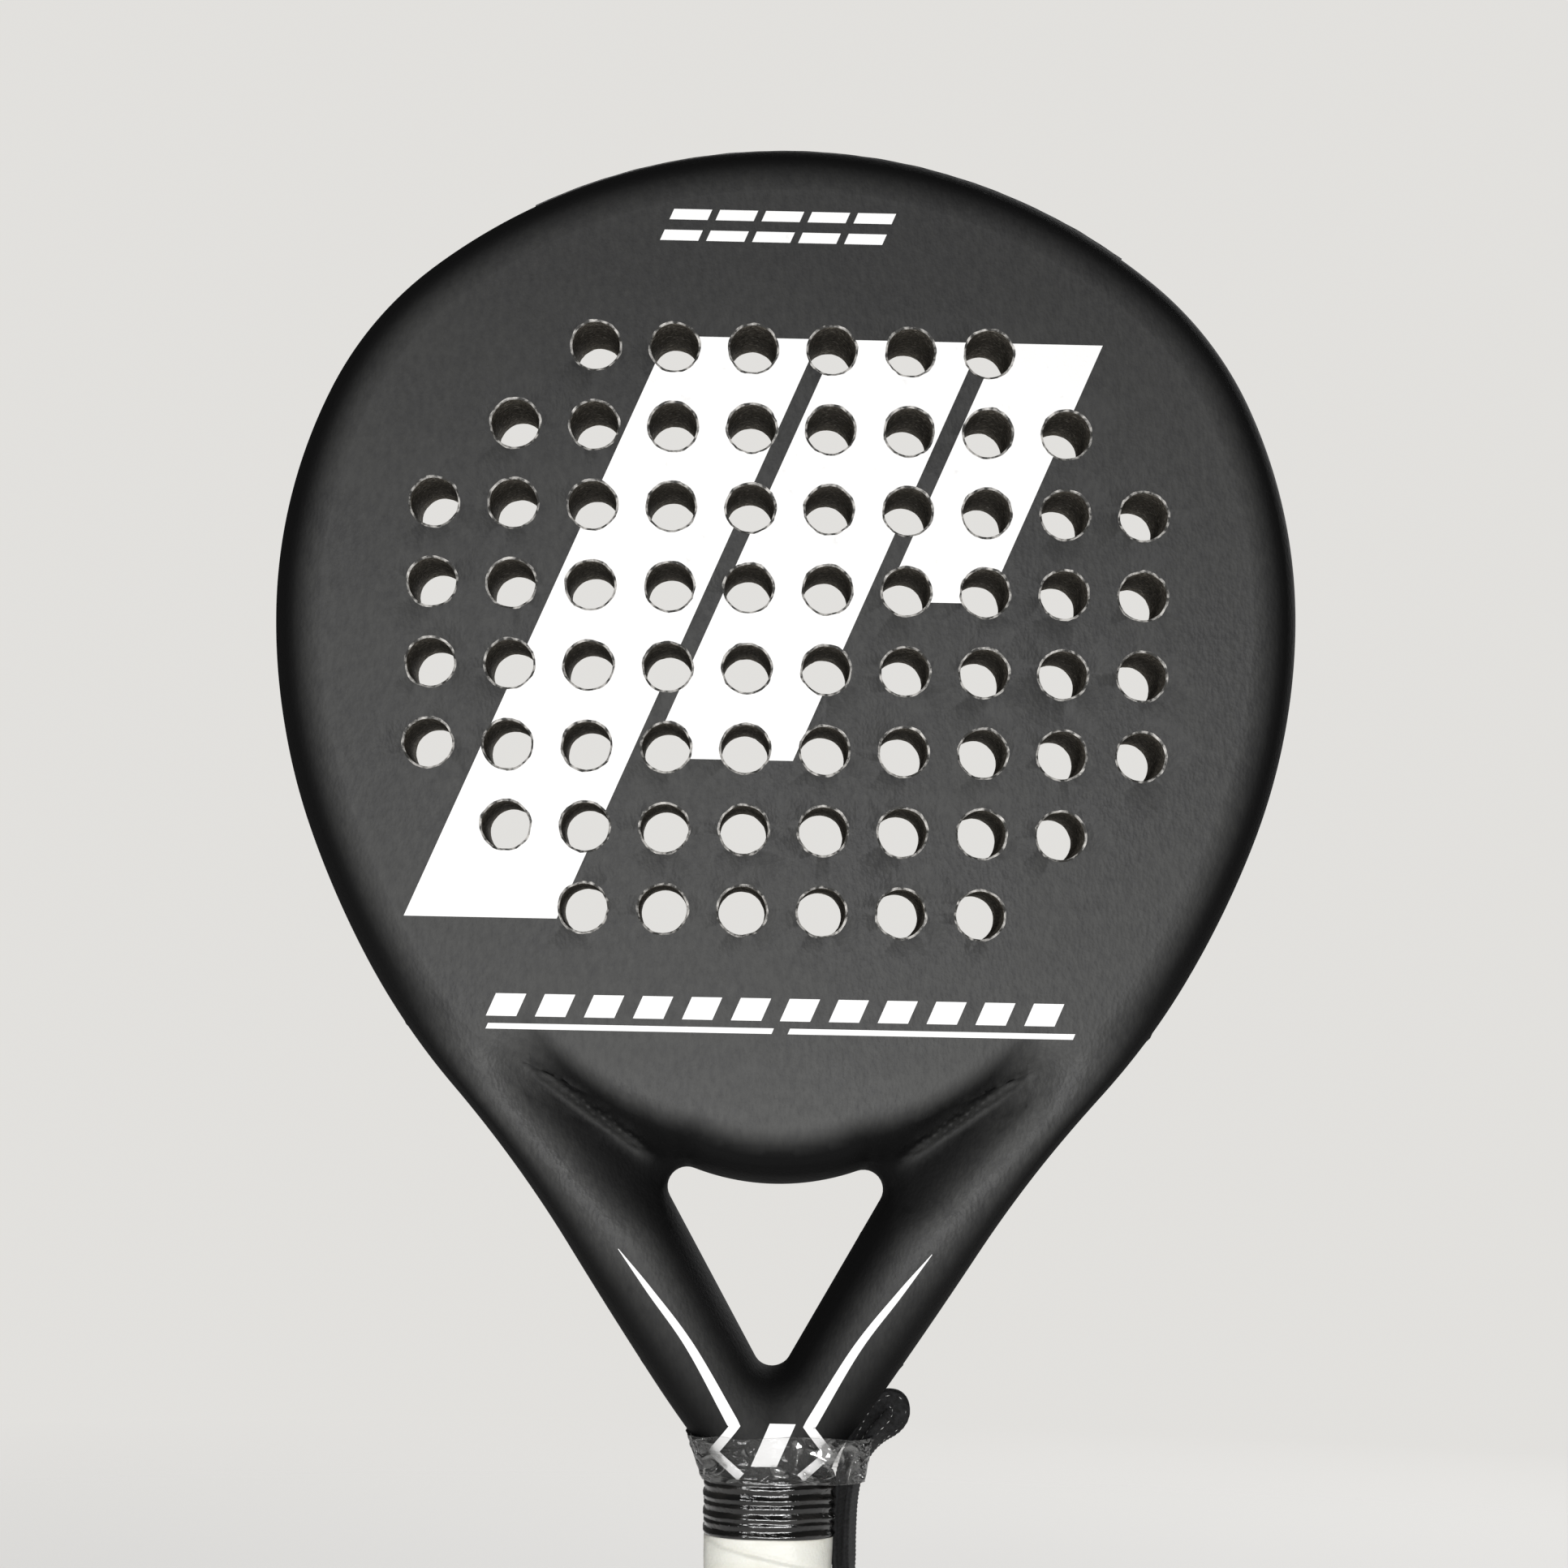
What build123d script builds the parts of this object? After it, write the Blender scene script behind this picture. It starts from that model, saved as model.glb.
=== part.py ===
"""Padel racket: a hollow fibre frame around a perforated foam core, with a wrapped handle and wrist strap.

Millimetres.  +Z runs from the butt cap to the tip of the head, +X is the right side seen from the front,
and the front playing face looks along -Y.  The origin is the centre of the butt cap's lower rim.
"""
import os
from math import radians, tan

from build123d import *

# Driving dimensions of the whole racket.
LENGTH = 455.0
HEAD_WIDTH = 260.0
THICKNESS = 38.0

# Right half of the outer outline as (half width, height): a chain of tangent arcs from the tip down.
OUTLINE = [
    (0.0, LENGTH),
    (92.3, 422.8),
    (117.6, 390.8),
    (HEAD_WIDTH / 2, 334.8),
    (119.7, 278.8),
    (104.8, 246.8),
    (82.0, 214.8),
    (51.6, 174.8),
    (30.4, 142.8),
    (19.3, 127.5),
    (15.2, 119.4),
]
HALF_THICKNESS = THICKNESS / 2
RIM_ROUNDING = 13.0
RIM_WIDTH = 14.0
FACE_INSET = 13.0
SKIN = 1.2

# Lower end of the head, where the bridge closes the hoop: centre, knee and corner heights.
BRIDGE_LOW = 191.5
BRIDGE_KNEE = (20.2, 195.0)
HEAD_CORNER = (95.4, 231.0)
FACE_LOW_INSET = 7.2
BRIDGE_END_X = 62.0

# Throat opening: its two straight sides run down to a tip, and the bridge closes it above.
THROAT_SIDE_TOP = (36.0, 204.9)
THROAT_TIP = 140.8
THROAT_CORNER_RADIUS = 4.9
WEB_HALF_WIDTH = 25.5
WEB_LOW = 184.0

# Hollow of the frame tube, measured in from the outer surface.
TUBE_OUTER_GAP = 3.5
TUBE_INNER_GAP = 11.5
TUBE_HALF_DEPTH = 12.0
ARM_WALL = 4.5

# Perforations of the faces and the core: ten columns by eight rows, with the corners left solid.
HOLE_RADIUS = 6.0
HOLE_PITCH_X = 19.8
HOLE_PITCH_Z = 20.2
HOLE_CENTRE_Z = 330.6
HOLES_PER_ROW = [6, 8, 10, 10, 10, 10, 8, 6]

# Depth of the throat and neck, tapering from the head to the handle.
TAPER_START = 205.0
NECK_LOW = 119.4
NECK_HALF_DEPTH = 16.4
YOKE_TOP = 147.0

# Handle: (width, depth, corner radius) of each layer, from the inside out.
SHAFT = (22.0, 25.0, 5.0)
SHAFT_BORE = (17.0, 20.0, 3.0)
PALLETS = (28.6, 32.8, 10.0)
GRIP = (31.6, 36.0, 11.5)
COLLAR = (32.6, 37.0, 12.0)
GRIP_LOW = 20.0
GRIP_HIGH = 104.9
COLLAR_HIGH = NECK_LOW
COLLAR_RIDGES = 5
RIDGE_DEPTH = 0.5

# Clear film round the neck and the strap: (left, right, depth, height) of its two ends.
FILM_LOW_END = (-16.6, 24.0, 37.2, 119.6)
FILM_HIGH_END = (-21.2, 26.6, 37.2, 128.0)
FILM_RADIUS = 9.0
FILM_THICKNESS = 0.3

# Butt cap, with a recess under it for the strap's anchor.
CAP_FLARE = (36.6, 39.6, 14.0)
CAP_HEIGHT = 20.0
CAP_SEAT = 12.0
CAP_RECESS = (20.0, 22.0, 9.0)
CAP_SLOT_DEPTH = 11.0
PLUG_HEIGHT = 22.0
SCREW_RADIUS = 1.5
SCREW_HEAD_RADIUS = 2.8
SCREW_HEAD_HEIGHT = 1.6
SCREW_LENGTH = 14.0
SCREW_SPACING = 12.0

# Wrist strap: flat webbing that leaves the cap's slot, runs up the right side and folds at the neck.
STRAP_WIDTH = 10.0
STRAP_THICKNESS = 1.8
STRAP_GAP = 3.6
STRAP_Y = -3.0
STRAP_INNER_X = 19.6
STRAP_OUTER_X = STRAP_INNER_X + STRAP_GAP
STRAP_LOW = 2.4
STRAP_START_X = 7.4
STRAP_ROUTE = [
    (STRAP_START_X, STRAP_LOW + STRAP_GAP),
    (15.5, STRAP_LOW + STRAP_GAP),
    (STRAP_INNER_X - 0.3, 9.6),
    (STRAP_INNER_X, 18.0),
    (STRAP_INNER_X, 86.0),
    (18.6, 101.0),
    (18.8, 118.0),
    (22.6, 128.4),
    (28.6, 137.0),
    (33.2, 136.0),
    (32.6, 130.4),
    (26.6, 126.0),
    (22.9, 118.0),
    (22.3, 101.0),
    (STRAP_OUTER_X, 86.0),
    (STRAP_OUTER_X, 16.0),
    (STRAP_OUTER_X - 0.4, 6.0),
    (18.5, STRAP_LOW),
    (STRAP_START_X, STRAP_LOW),
]
BEND_SHARE = 0.45
PIN_RADIUS = 1.5
PIN_LENGTH = 26.0
PIN_X = 2.0

# Slider on the strap's straight run.
SLIDER_LOW = 30.0
SLIDER_HEIGHT = 9.0
SLIDER_WALL = 1.3
SLIDER_CLEARANCE = 0.4
SLIDER_BAR = 1.0

# Protective tape let into the rim round the tip.
GUARD_THICKNESS = 0.5
GUARD_HALF_WIDTH = 8.0
GUARD_END_Z = 431.0

# Printed decals, flush with the surface: plain slanted bars on the faces, and stripes down the arms.
DECAL = 0.15
LEAN = 0.425
EMBLEM_TOP = 404.0
EMBLEM_BARS = [(-94.0, 38.0, 257.0), (-34.0, 36.0, 297.5), (24.0, 26.0, 338.0)]
TIP_MARK_Z = (428.4, 436.4)
TIP_MARK_BARS = [-34.0, -22.4, -10.8, 0.8, 12.4]
TIP_MARK_BAR_WIDTH = 9.6
LOW_MARK_Z = (232.6, 238.2)
LOW_MARK_LINE_Z = (229.4, 230.8)
LOW_MARK_HALF = 73.0
LOW_MARK_BLOCKS = 12
STRIPE = [(38.6, 175.6), (30.6, 165.4), (20.2, 151.7), (8.6, 132.3)]
STRIPE_WIDTHS = [0.0, 1.5, 2.1, 2.9]
STRIPE_KNEE = [(8.6, 132.3), (14.2, 125.6), (7.6, 119.8)]
BADGE_Z = (122.6, 133.2)
BADGE_HALF_WIDTH = 5.0


def mirrored(edges):
    """The same edges on both sides of the racket's middle plane."""
    return edges + [edge.mirror(Plane.YZ) for edge in edges]


def tangent_chain(points, tangent):
    """Arcs through the points, each leaving along the direction in which the last one arrived."""
    edges = []
    for start, end in zip(points, points[1:]):
        arc = TangentArc(start, end, tangent=tangent)
        edges.append(arc.edge())
        tangent = arc % 1
    return edges


def closed_face(edges):
    """A face in the sketch plane bounded by the edges."""
    return Face(Wire(edges))


def upright(sketch, low_y, high_y):
    """Extrude a sketch of (x, z) from one depth to another."""
    return extrude(Pos(0, low_y, 0) * (Plane.XZ * sketch), amount=high_y - low_y, dir=(0, 1, 0))


def rounded(section, low, high):
    """A straight bar along Z with a rounded rectangular section."""
    width, depth, radius = section
    return extrude(Pos(0, 0, low) * RectangleRounded(width, depth, radius), amount=high - low)


def racket_face():
    """The whole outer outline from the tip to the lower end of the neck."""
    side = tangent_chain(OUTLINE, (1, 0))
    foot_x, foot_z = OUTLINE[-1]
    foot = Line((-foot_x, foot_z), (foot_x, foot_z)).edge()
    return closed_face(mirrored(side) + [foot])


def head_region():
    """Everything above the bridge's lower edge, wider than the head itself."""
    arc = tangent_chain([(0, BRIDGE_LOW), BRIDGE_KNEE, HEAD_CORNER], (1, 0))
    right = HEAD_CORNER[0] + HEAD_WIDTH
    top = LENGTH + HEAD_WIDTH
    corner_x, corner_z = HEAD_CORNER
    side = [
        Line((corner_x, corner_z), (right, corner_z)).edge(),
        Line((right, corner_z), (right, top)).edge(),
    ]
    roof = Line((-right, top), (right, top)).edge()
    return closed_face(mirrored(arc + side) + [roof])


def throat_face():
    """The triangle between the two arms, rounded at its lower tip; its top is inside the head."""
    top_x, top_z = THROAT_SIDE_TOP
    corners = [(-top_x, top_z), (top_x, top_z), (0, THROAT_TIP)]
    triangle = make_face(Polyline(*corners, close=True))
    return fillet(triangle.vertices().sort_by(Axis.Y)[0], THROAT_CORNER_RADIUS)


def hole_places():
    """Centres of the perforations as (x, z)."""
    rows = len(HOLES_PER_ROW)
    for row, count in enumerate(HOLES_PER_ROW):
        z = HOLE_CENTRE_Z + HOLE_PITCH_Z * ((rows - 1) / 2 - row)
        for column in range(count):
            x = HOLE_PITCH_X * (column - (count - 1) / 2)
            yield x, z


def perforations():
    """All the through holes as one sketch."""
    return Sketch() + [Pos(x, z) * Circle(HOLE_RADIUS) for x, z in hole_places()]


def rim_edges(solid):
    """The outline's front and rear edges, without those on the flat lower end."""
    curved = [edge for edge in solid.edges() if edge.geom_type != GeomType.LINE]
    return [edge for edge in curved if abs(abs(edge.center().Y) - HALF_THICKNESS) < 0.01]


def racket_body():
    """The frame's full outer shape: rounded rim, open throat, and a neck that gets thinner."""
    body = upright(racket_face(), -HALF_THICKNESS, HALF_THICKNESS)
    body = fillet(rim_edges(body), RIM_ROUNDING)
    body -= upright(throat_face(), -THICKNESS, THICKNESS) - upright(head_region(), -LENGTH, LENGTH)
    corners = [edge for edge in body.edges().filter_by(Axis.Y) if abs(edge.center().X) < THROAT_SIDE_TOP[0]]
    corners = [edge for edge in corners if edge.center().Z > BRIDGE_LOW and abs(edge.center().X) > 30.5]
    body = fillet(corners, THROAT_CORNER_RADIUS)
    profile = [
        (-HALF_THICKNESS, LENGTH + 1),
        (-HALF_THICKNESS, TAPER_START),
        (-NECK_HALF_DEPTH, NECK_LOW),
        (NECK_HALF_DEPTH, NECK_LOW),
        (HALF_THICKNESS, TAPER_START),
        (HALF_THICKNESS, LENGTH + 1),
    ]
    side_view = Plane.YZ * make_face(Polyline(*profile, close=True))
    return body & extrude(side_view, amount=HEAD_WIDTH, both=True)


def core_block():
    """The foam core's block, before it is perforated."""
    ring = offset(racket_face() & head_region(), amount=-RIM_WIDTH, kind=Kind.INTERSECTION)
    return upright(ring, SKIN - HALF_THICKNESS, HALF_THICKNESS - SKIN)


def face_sheet(low_y, high_y):
    """A flat face laminate, without its perforations."""
    flat = offset(racket_face(), amount=-FACE_INSET, kind=Kind.INTERSECTION)
    lowered = offset(racket_face() & head_region(), amount=-FACE_LOW_INSET, kind=Kind.INTERSECTION)
    return upright(flat & lowered, low_y, high_y)


def tube_void():
    """The hollow of the hoop and the bridge."""
    head = racket_face() & head_region()
    ring = offset(head, amount=-TUBE_OUTER_GAP, kind=Kind.INTERSECTION)
    ring -= offset(head, amount=-TUBE_INNER_GAP, kind=Kind.INTERSECTION)
    return upright(ring, -TUBE_HALF_DEPTH, TUBE_HALF_DEPTH)


def arm_void():
    """The hollow of the two throat arms."""
    inside = offset(racket_face(), amount=-ARM_WALL, kind=Kind.INTERSECTION)
    around = offset(throat_face(), amount=ARM_WALL)
    return upright(inside - around, -TUBE_HALF_DEPTH, TUBE_HALF_DEPTH)


def block(low, high):
    """A box between two corners."""
    size = [b - a for a, b in zip(low, high)]
    middle = [(a + b) / 2 for a, b in zip(low, high)]
    return Pos(*middle) * Box(*size)


def edge_guard(body):
    """The tape let into the rim round the tip."""
    ring = racket_face() - offset(racket_face(), amount=-GUARD_THICKNESS, kind=Kind.INTERSECTION)
    band = upright(ring, -GUARD_HALF_WIDTH, GUARD_HALF_WIDTH)
    above = block((-HEAD_WIDTH, -THICKNESS, GUARD_END_Z), (HEAD_WIDTH, THICKNESS, LENGTH + 1))
    return body & band & above


def painted(body, sketch):
    """A thin inlay of the sketch's shape in the body's front surface."""
    return (body & upright(sketch, -THICKNESS, 0)) - Pos(0, DECAL, 0) * body


def ribbon(centres, widths):
    """A flat stripe of changing width along a line of points."""
    left = []
    right = []
    for index, (x, z) in enumerate(centres):
        before = centres[max(index - 1, 0)]
        after = centres[min(index + 1, len(centres) - 1)]
        along = Vector(after[0] - before[0], after[1] - before[1]).normalized()
        half = max(widths[index] / 2, 0.05)
        left.append((x - along.Y * half, z + along.X * half))
        right.append((x + along.Y * half, z - along.X * half))
    return make_face(Polyline(*left, *reversed(right), close=True))


def pinstripe():
    """The right arm's stripe: it widens down the arm and turns back under the badge."""
    blade = ribbon(STRIPE, STRIPE_WIDTHS)
    knee = ribbon(STRIPE_KNEE, [STRIPE_WIDTHS[-1]] * len(STRIPE_KNEE))
    return blade + knee


def throat_badge():
    """A plain pair of slanted bars between the stripes."""
    low, high = BADGE_Z
    bar = slanted(-BADGE_HALF_WIDTH, BADGE_HALF_WIDTH * 0.6, low, high)
    return bar + slanted(-BADGE_HALF_WIDTH * 0.1, BADGE_HALF_WIDTH * 0.4, low, high)


def slanted(x, width, low, high):
    """A parallelogram that leans to the right."""
    shift = LEAN * (high - low)
    return make_face(Polyline((x, low), (x + width, low), (x + width + shift, high), (x + shift, high), close=True))


def emblem():
    """Three slanted bars of falling length, cut by the perforations."""
    bars = Sketch()
    for x, width, low in EMBLEM_BARS:
        bars += slanted(x, width, low, EMBLEM_TOP)
    return bars - perforations()


def tip_mark():
    """A row of short slanted blocks with a slit through each."""
    low, high = TIP_MARK_Z
    third = (high - low) / 3
    marks = Sketch()
    for x in TIP_MARK_BARS:
        marks += slanted(x, TIP_MARK_BAR_WIDTH, low, low + third)
        marks += slanted(x + LEAN * 2 * third, TIP_MARK_BAR_WIDTH, high - third, high)
    return marks


def low_mark():
    """A row of slanted blocks over a line with a gap at its middle."""
    low, high = LOW_MARK_Z
    line_low, line_high = LOW_MARK_LINE_Z
    pitch = 2 * LOW_MARK_HALF / LOW_MARK_BLOCKS
    marks = Sketch()
    for index in range(LOW_MARK_BLOCKS):
        marks += slanted(pitch * index - LOW_MARK_HALF, pitch * 0.62, low, high)
    half_line = LOW_MARK_HALF - 2.0
    marks += slanted(-LOW_MARK_HALF, half_line, line_low, line_high)
    marks += slanted(2.0, half_line, line_low, line_high)
    return marks


def front_print(sketch):
    """Print of the sketch's shape, let into the front face by a paint's thickness."""
    return upright(sketch, -HALF_THICKNESS, DECAL - HALF_THICKNESS)


def turned(shape):
    """The same shape on the rear of the racket."""
    return Rot(0, 0, 180) * shape


def decal_parts():
    """The printed marks of both faces."""
    prints = {"emblem": emblem(), "tip_mark": tip_mark(), "low_mark": low_mark()}
    front = {f"front_{name}": front_print(sketch) for name, sketch in prints.items()}
    rear = {f"rear_{name}": turned(front[f"front_{name}"]) for name in prints}
    return front | rear


def frame_parts():
    """The frame's tubes, the core and the two faces."""
    body = racket_body()
    head = upright(head_region(), -THICKNESS, THICKNESS)
    holes = upright(perforations(), -THICKNESS, THICKNESS)
    core = core_block()
    front = face_sheet(-HALF_THICKNESS, SKIN - HALF_THICKNESS)
    rear = face_sheet(HALF_THICKNESS - SKIN, HALF_THICKNESS)
    marks = front_print(emblem() + tip_mark() + low_mark())
    guard = edge_guard(body)
    ring = (body & head) - core - front - rear - tube_void() - guard
    span = block((-BRIDGE_END_X, -THICKNESS, 0), (BRIDGE_END_X, THICKNESS, HEAD_CORNER[1] + RIM_WIDTH))
    limbs = body - head
    above_yoke = block((0, -THICKNESS, YOKE_TOP), (HEAD_WIDTH, THICKNESS, LENGTH))
    stripe = painted(body, pinstripe())
    badge = painted(body, throat_badge())
    webs = limbs & block((-WEB_HALF_WIDTH, -THICKNESS, WEB_LOW), (WEB_HALF_WIDTH, THICKNESS, LENGTH))
    arm = (limbs & above_yoke) - webs - arm_void() - stripe
    yoke = limbs & block((-HEAD_WIDTH, -THICKNESS, 0), (HEAD_WIDTH, THICKNESS, YOKE_TOP))
    yoke = yoke - stripe - stripe.mirror(Plane.YZ) - badge
    return {
        "edge_guard": guard,
        "pinstripe_right": stripe,
        "pinstripe_left": stripe.mirror(Plane.YZ),
        "throat_badge": badge,
        "frame_hoop": ring - span,
        "throat_bridge": (ring & span) + webs,
        "throat_arm_right": arm,
        "throat_arm_left": arm.mirror(Plane.YZ),
        "throat_yoke": yoke,
        "foam_core": core - holes,
        "front_face": front - holes - marks,
        "rear_face": rear - holes - turned(marks),
    }


def handle_parts():
    """The handle from its inner shaft out to the grip and the collar."""
    shaft = rounded(SHAFT, CAP_SEAT, NECK_LOW)
    bore = rounded(SHAFT_BORE, 0, LENGTH)
    pallets = rounded(PALLETS, CAP_SEAT, NECK_LOW) - shaft
    front_half = block((-HEAD_WIDTH, -THICKNESS, 0), (HEAD_WIDTH, 0, LENGTH))
    grip = rounded(GRIP, GRIP_LOW, GRIP_HIGH) - rounded(PALLETS, 0, LENGTH)
    return {
        "handle_shaft": shaft - bore,
        "handle_pallet_front": pallets & front_half,
        "handle_pallet_rear": pallets - front_half,
        "grip_wrap": grip,
        "grip_collar": collar(),
        "shaft_plug": rounded(SHAFT_BORE, CAP_SEAT, CAP_SEAT + PLUG_HEIGHT) - cap_screws(),
    }


def collar():
    """The finishing collar above the grip, with rounded ridges round it."""
    width, depth, radius = COLLAR
    pitch = (COLLAR_HIGH - GRIP_HIGH) / COLLAR_RIDGES
    groove = (width - 2 * RIDGE_DEPTH, depth - 2 * RIDGE_DEPTH, radius - RIDGE_DEPTH)
    ring = Part()
    for ridge in range(COLLAR_RIDGES):
        low = GRIP_HIGH + ridge * pitch
        ring += rounded(groove, low, low + pitch * 0.3)
        ring += rounded(COLLAR, low + pitch * 0.3, low + pitch)
    return ring - rounded(PALLETS, 0, LENGTH)


def cap_screws():
    """Two countersunk screws that hold the cap to the plug."""
    screws = Part()
    for side in (-1, 1):
        shank = Cylinder(SCREW_RADIUS, SCREW_LENGTH, align=(Align.CENTER, Align.CENTER, Align.MIN))
        head = Cylinder(SCREW_HEAD_RADIUS, SCREW_HEAD_HEIGHT, align=(Align.CENTER, Align.CENTER, Align.MAX))
        screws += Pos(0, side * SCREW_SPACING / 2, CAP_RECESS[2]) * (shank + head)
    return screws


def butt_cap():
    """The flared cap, open underneath, with a slot on the right for the strap."""
    width, depth, radius = CAP_FLARE
    waist = (GRIP[0] + 1.6, GRIP[1] + 1.6, GRIP[2])
    flare = [Pos(0, 0, z) * RectangleRounded(*size) for z, size in (
        (0, CAP_FLARE),
        (CAP_SEAT / 2, CAP_FLARE),
        (CAP_HEIGHT, waist),
    )]
    cap = loft(flare, ruled=True)
    cap -= rounded(PALLETS, CAP_SEAT, LENGTH)
    recess_width, recess_depth, recess_height = CAP_RECESS
    cap -= rounded((recess_width, recess_depth, 3.0), 0, recess_height)
    slot_half = STRAP_WIDTH / 2 + SLIDER_CLEARANCE
    cap -= block((0, STRAP_Y - slot_half, 0), (width, STRAP_Y + slot_half, CAP_SLOT_DEPTH))
    return cap - cap_screws() - anchor_pin()


def anchor_pin():
    """The pin across the recess that the strap's ends are sewn round."""
    pin = Cylinder(PIN_RADIUS, PIN_LENGTH, rotation=(90, 0, 0))
    return Pos(PIN_X, STRAP_Y / 2, STRAP_LOW + STRAP_GAP / 2) * pin


def strap_tab():
    """The sewn end of the strap, folded round the anchor pin."""
    height = STRAP_GAP + STRAP_THICKNESS
    radius = height / 2
    barrel = Cylinder(radius, STRAP_WIDTH, rotation=(90, 0, 0))
    neck = Pos(radius, 0, 0) * Box(2 * radius, STRAP_WIDTH, height)
    return Pos(PIN_X, STRAP_Y, STRAP_LOW + STRAP_GAP / 2) * (barrel + neck) - anchor_pin()


def strap_path():
    """The strap's centre line: straight runs joined by arcs as large as the runs allow."""
    points = [Vector(x, STRAP_Y, z) for x, z in STRAP_ROUTE]
    radii = []
    for before, corner, after in zip(points, points[1:], points[2:]):
        turn = radians((corner - before).get_angle(after - corner))
        shorter = min((corner - before).length, (after - corner).length)
        radii.append(BEND_SHARE * shorter / tan(turn / 2))
    print("strap radii", [round(radius, 1) for radius in radii])
    return FilletPolyline(*points, radius=radii)


def wrist_strap():
    """The strap's webbing, swept along its path."""
    path = strap_path()
    start = Plane(origin=path @ 0, x_dir=(0, 1, 0), z_dir=path % 0)
    webbing = sweep(start * Rectangle(STRAP_WIDTH, STRAP_THICKNESS), path=path)
    expected = path.length * STRAP_WIDTH * STRAP_THICKNESS
    print(f"strap length {path.length:.1f} mm, volume {webbing.volume:.0f} of {expected:.0f} mm3")
    return webbing


def strap_slider():
    """The ladder-shaped keeper that holds both strands, with a bar between them."""
    side = SLIDER_CLEARANCE + STRAP_THICKNESS / 2
    half_y = STRAP_WIDTH / 2 + SLIDER_CLEARANCE
    low_x = STRAP_INNER_X - side
    high_x = STRAP_OUTER_X + side
    middle = (STRAP_INNER_X + STRAP_OUTER_X) / 2
    top = SLIDER_LOW + SLIDER_HEIGHT
    outside = block(
        (low_x - SLIDER_WALL, STRAP_Y - half_y - SLIDER_WALL, SLIDER_LOW),
        (high_x + SLIDER_WALL, STRAP_Y + half_y + SLIDER_WALL, top),
    )
    outside = fillet(outside.edges().filter_by(Axis.Z), SLIDER_WALL)
    window = block((low_x, STRAP_Y - half_y, SLIDER_LOW - 1), (high_x, STRAP_Y + half_y, top + 1))
    bar = block(
        (middle - SLIDER_BAR / 2, STRAP_Y - half_y, SLIDER_LOW),
        (middle + SLIDER_BAR / 2, STRAP_Y + half_y, top),
    )
    return outside - window + bar


def film_shape(inset):
    """The film's outer shape, or its inside when inset by the film's thickness."""
    rings = []
    for left, right, depth, z in (FILM_LOW_END, FILM_HIGH_END):
        size = (right - left - 2 * inset, depth - 2 * inset, FILM_RADIUS - inset)
        rings.append(Pos((left + right) / 2, 0, z) * RectangleRounded(*size))
    return loft(rings, ruled=True)


def clear_film():
    """The sleeve of clear film round the neck, open on the right where the strap comes out."""
    half_y = STRAP_WIDTH / 2 + SLIDER_CLEARANCE
    way_out = block((0, STRAP_Y - half_y, FILM_LOW_END[3]), (HEAD_WIDTH, STRAP_Y + half_y, LENGTH))
    return film_shape(0) - film_shape(FILM_THICKNESS) - way_out


def save(node, shape):
    """Write one sub-part to its own file."""
    shape.label = node
    export_step(shape, f"parts/{node}.step")
    solids = shape.solids()
    print(f"{node:24s} solids {len(solids):3d}  volume {sum(s.volume for s in solids):10.1f} mm3")


os.makedirs("parts", exist_ok=True)
nodes = {}
nodes.update(frame_parts())
nodes.update(handle_parts())
nodes["cap_screws"] = cap_screws()
nodes["butt_cap"] = butt_cap()
nodes["strap_anchor_pin"] = anchor_pin()
nodes["strap_tab"] = strap_tab()
nodes["wrist_strap"] = wrist_strap()
nodes["strap_slider"] = strap_slider()
nodes["clear_film"] = clear_film()
nodes.update(decal_parts())
for node, shape in nodes.items():
    save(node, shape)
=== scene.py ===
"""Looks of the padel racket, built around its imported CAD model.

Shapes are worked out in millimetres in the row frame and turned into metres when a mesh is made.
"""
from math import atan2, cos, hypot, pi, radians, sin, sqrt

import bmesh
import bpy
import numpy as np
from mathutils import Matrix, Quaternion, Vector, noise
from mathutils.geometry import delaunay_2d_cdt


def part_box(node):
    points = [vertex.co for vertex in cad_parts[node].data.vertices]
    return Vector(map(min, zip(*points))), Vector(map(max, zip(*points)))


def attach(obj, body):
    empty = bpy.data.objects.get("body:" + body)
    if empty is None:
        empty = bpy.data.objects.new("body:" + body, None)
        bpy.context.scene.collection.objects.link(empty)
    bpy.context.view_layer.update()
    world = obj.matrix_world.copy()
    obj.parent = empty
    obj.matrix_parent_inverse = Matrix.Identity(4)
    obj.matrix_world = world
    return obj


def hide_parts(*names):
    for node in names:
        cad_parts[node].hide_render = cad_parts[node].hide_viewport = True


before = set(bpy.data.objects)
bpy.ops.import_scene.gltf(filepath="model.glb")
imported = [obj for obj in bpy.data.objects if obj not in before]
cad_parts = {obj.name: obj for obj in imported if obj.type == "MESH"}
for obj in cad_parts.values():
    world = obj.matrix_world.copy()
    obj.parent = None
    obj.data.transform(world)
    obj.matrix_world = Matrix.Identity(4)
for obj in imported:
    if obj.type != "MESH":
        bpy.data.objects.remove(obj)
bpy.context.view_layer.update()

MM = 0.001


def node_box(node):
    """Lowest and highest corners of a CAD node, in millimetres."""
    low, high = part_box(node)
    return np.array(low) / MM, np.array(high) / MM


# Camera: where it stands, what it looks at, its lens, and how far it is rolled.
CAMERA_PLACE = (-0.0146, -0.9183, 0.2329)
CAMERA_AIM = (-0.0001, -0.019, 0.2917)
CAMERA_LENS = 82.9
CAMERA_ROLL = radians(1.116)

# Sizes read from the frame.
HALF_DEPTH = -node_box("front_face")[0][1]
NECK_LOW = node_box("throat_yoke")[0][2]
YOKE_TOP = node_box("throat_yoke")[1][2]
BRIDGE_END = node_box("throat_bridge")[1][0]
TIP = node_box("edge_guard")[1][2]
GUARD_LOW = node_box("edge_guard")[0][2]
GRIP_LOW = node_box("grip_wrap")[0][2]
GRIP_TOP = node_box("grip_wrap")[1][2]
COLLAR_LOW = node_box("grip_collar")[0][2]

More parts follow.
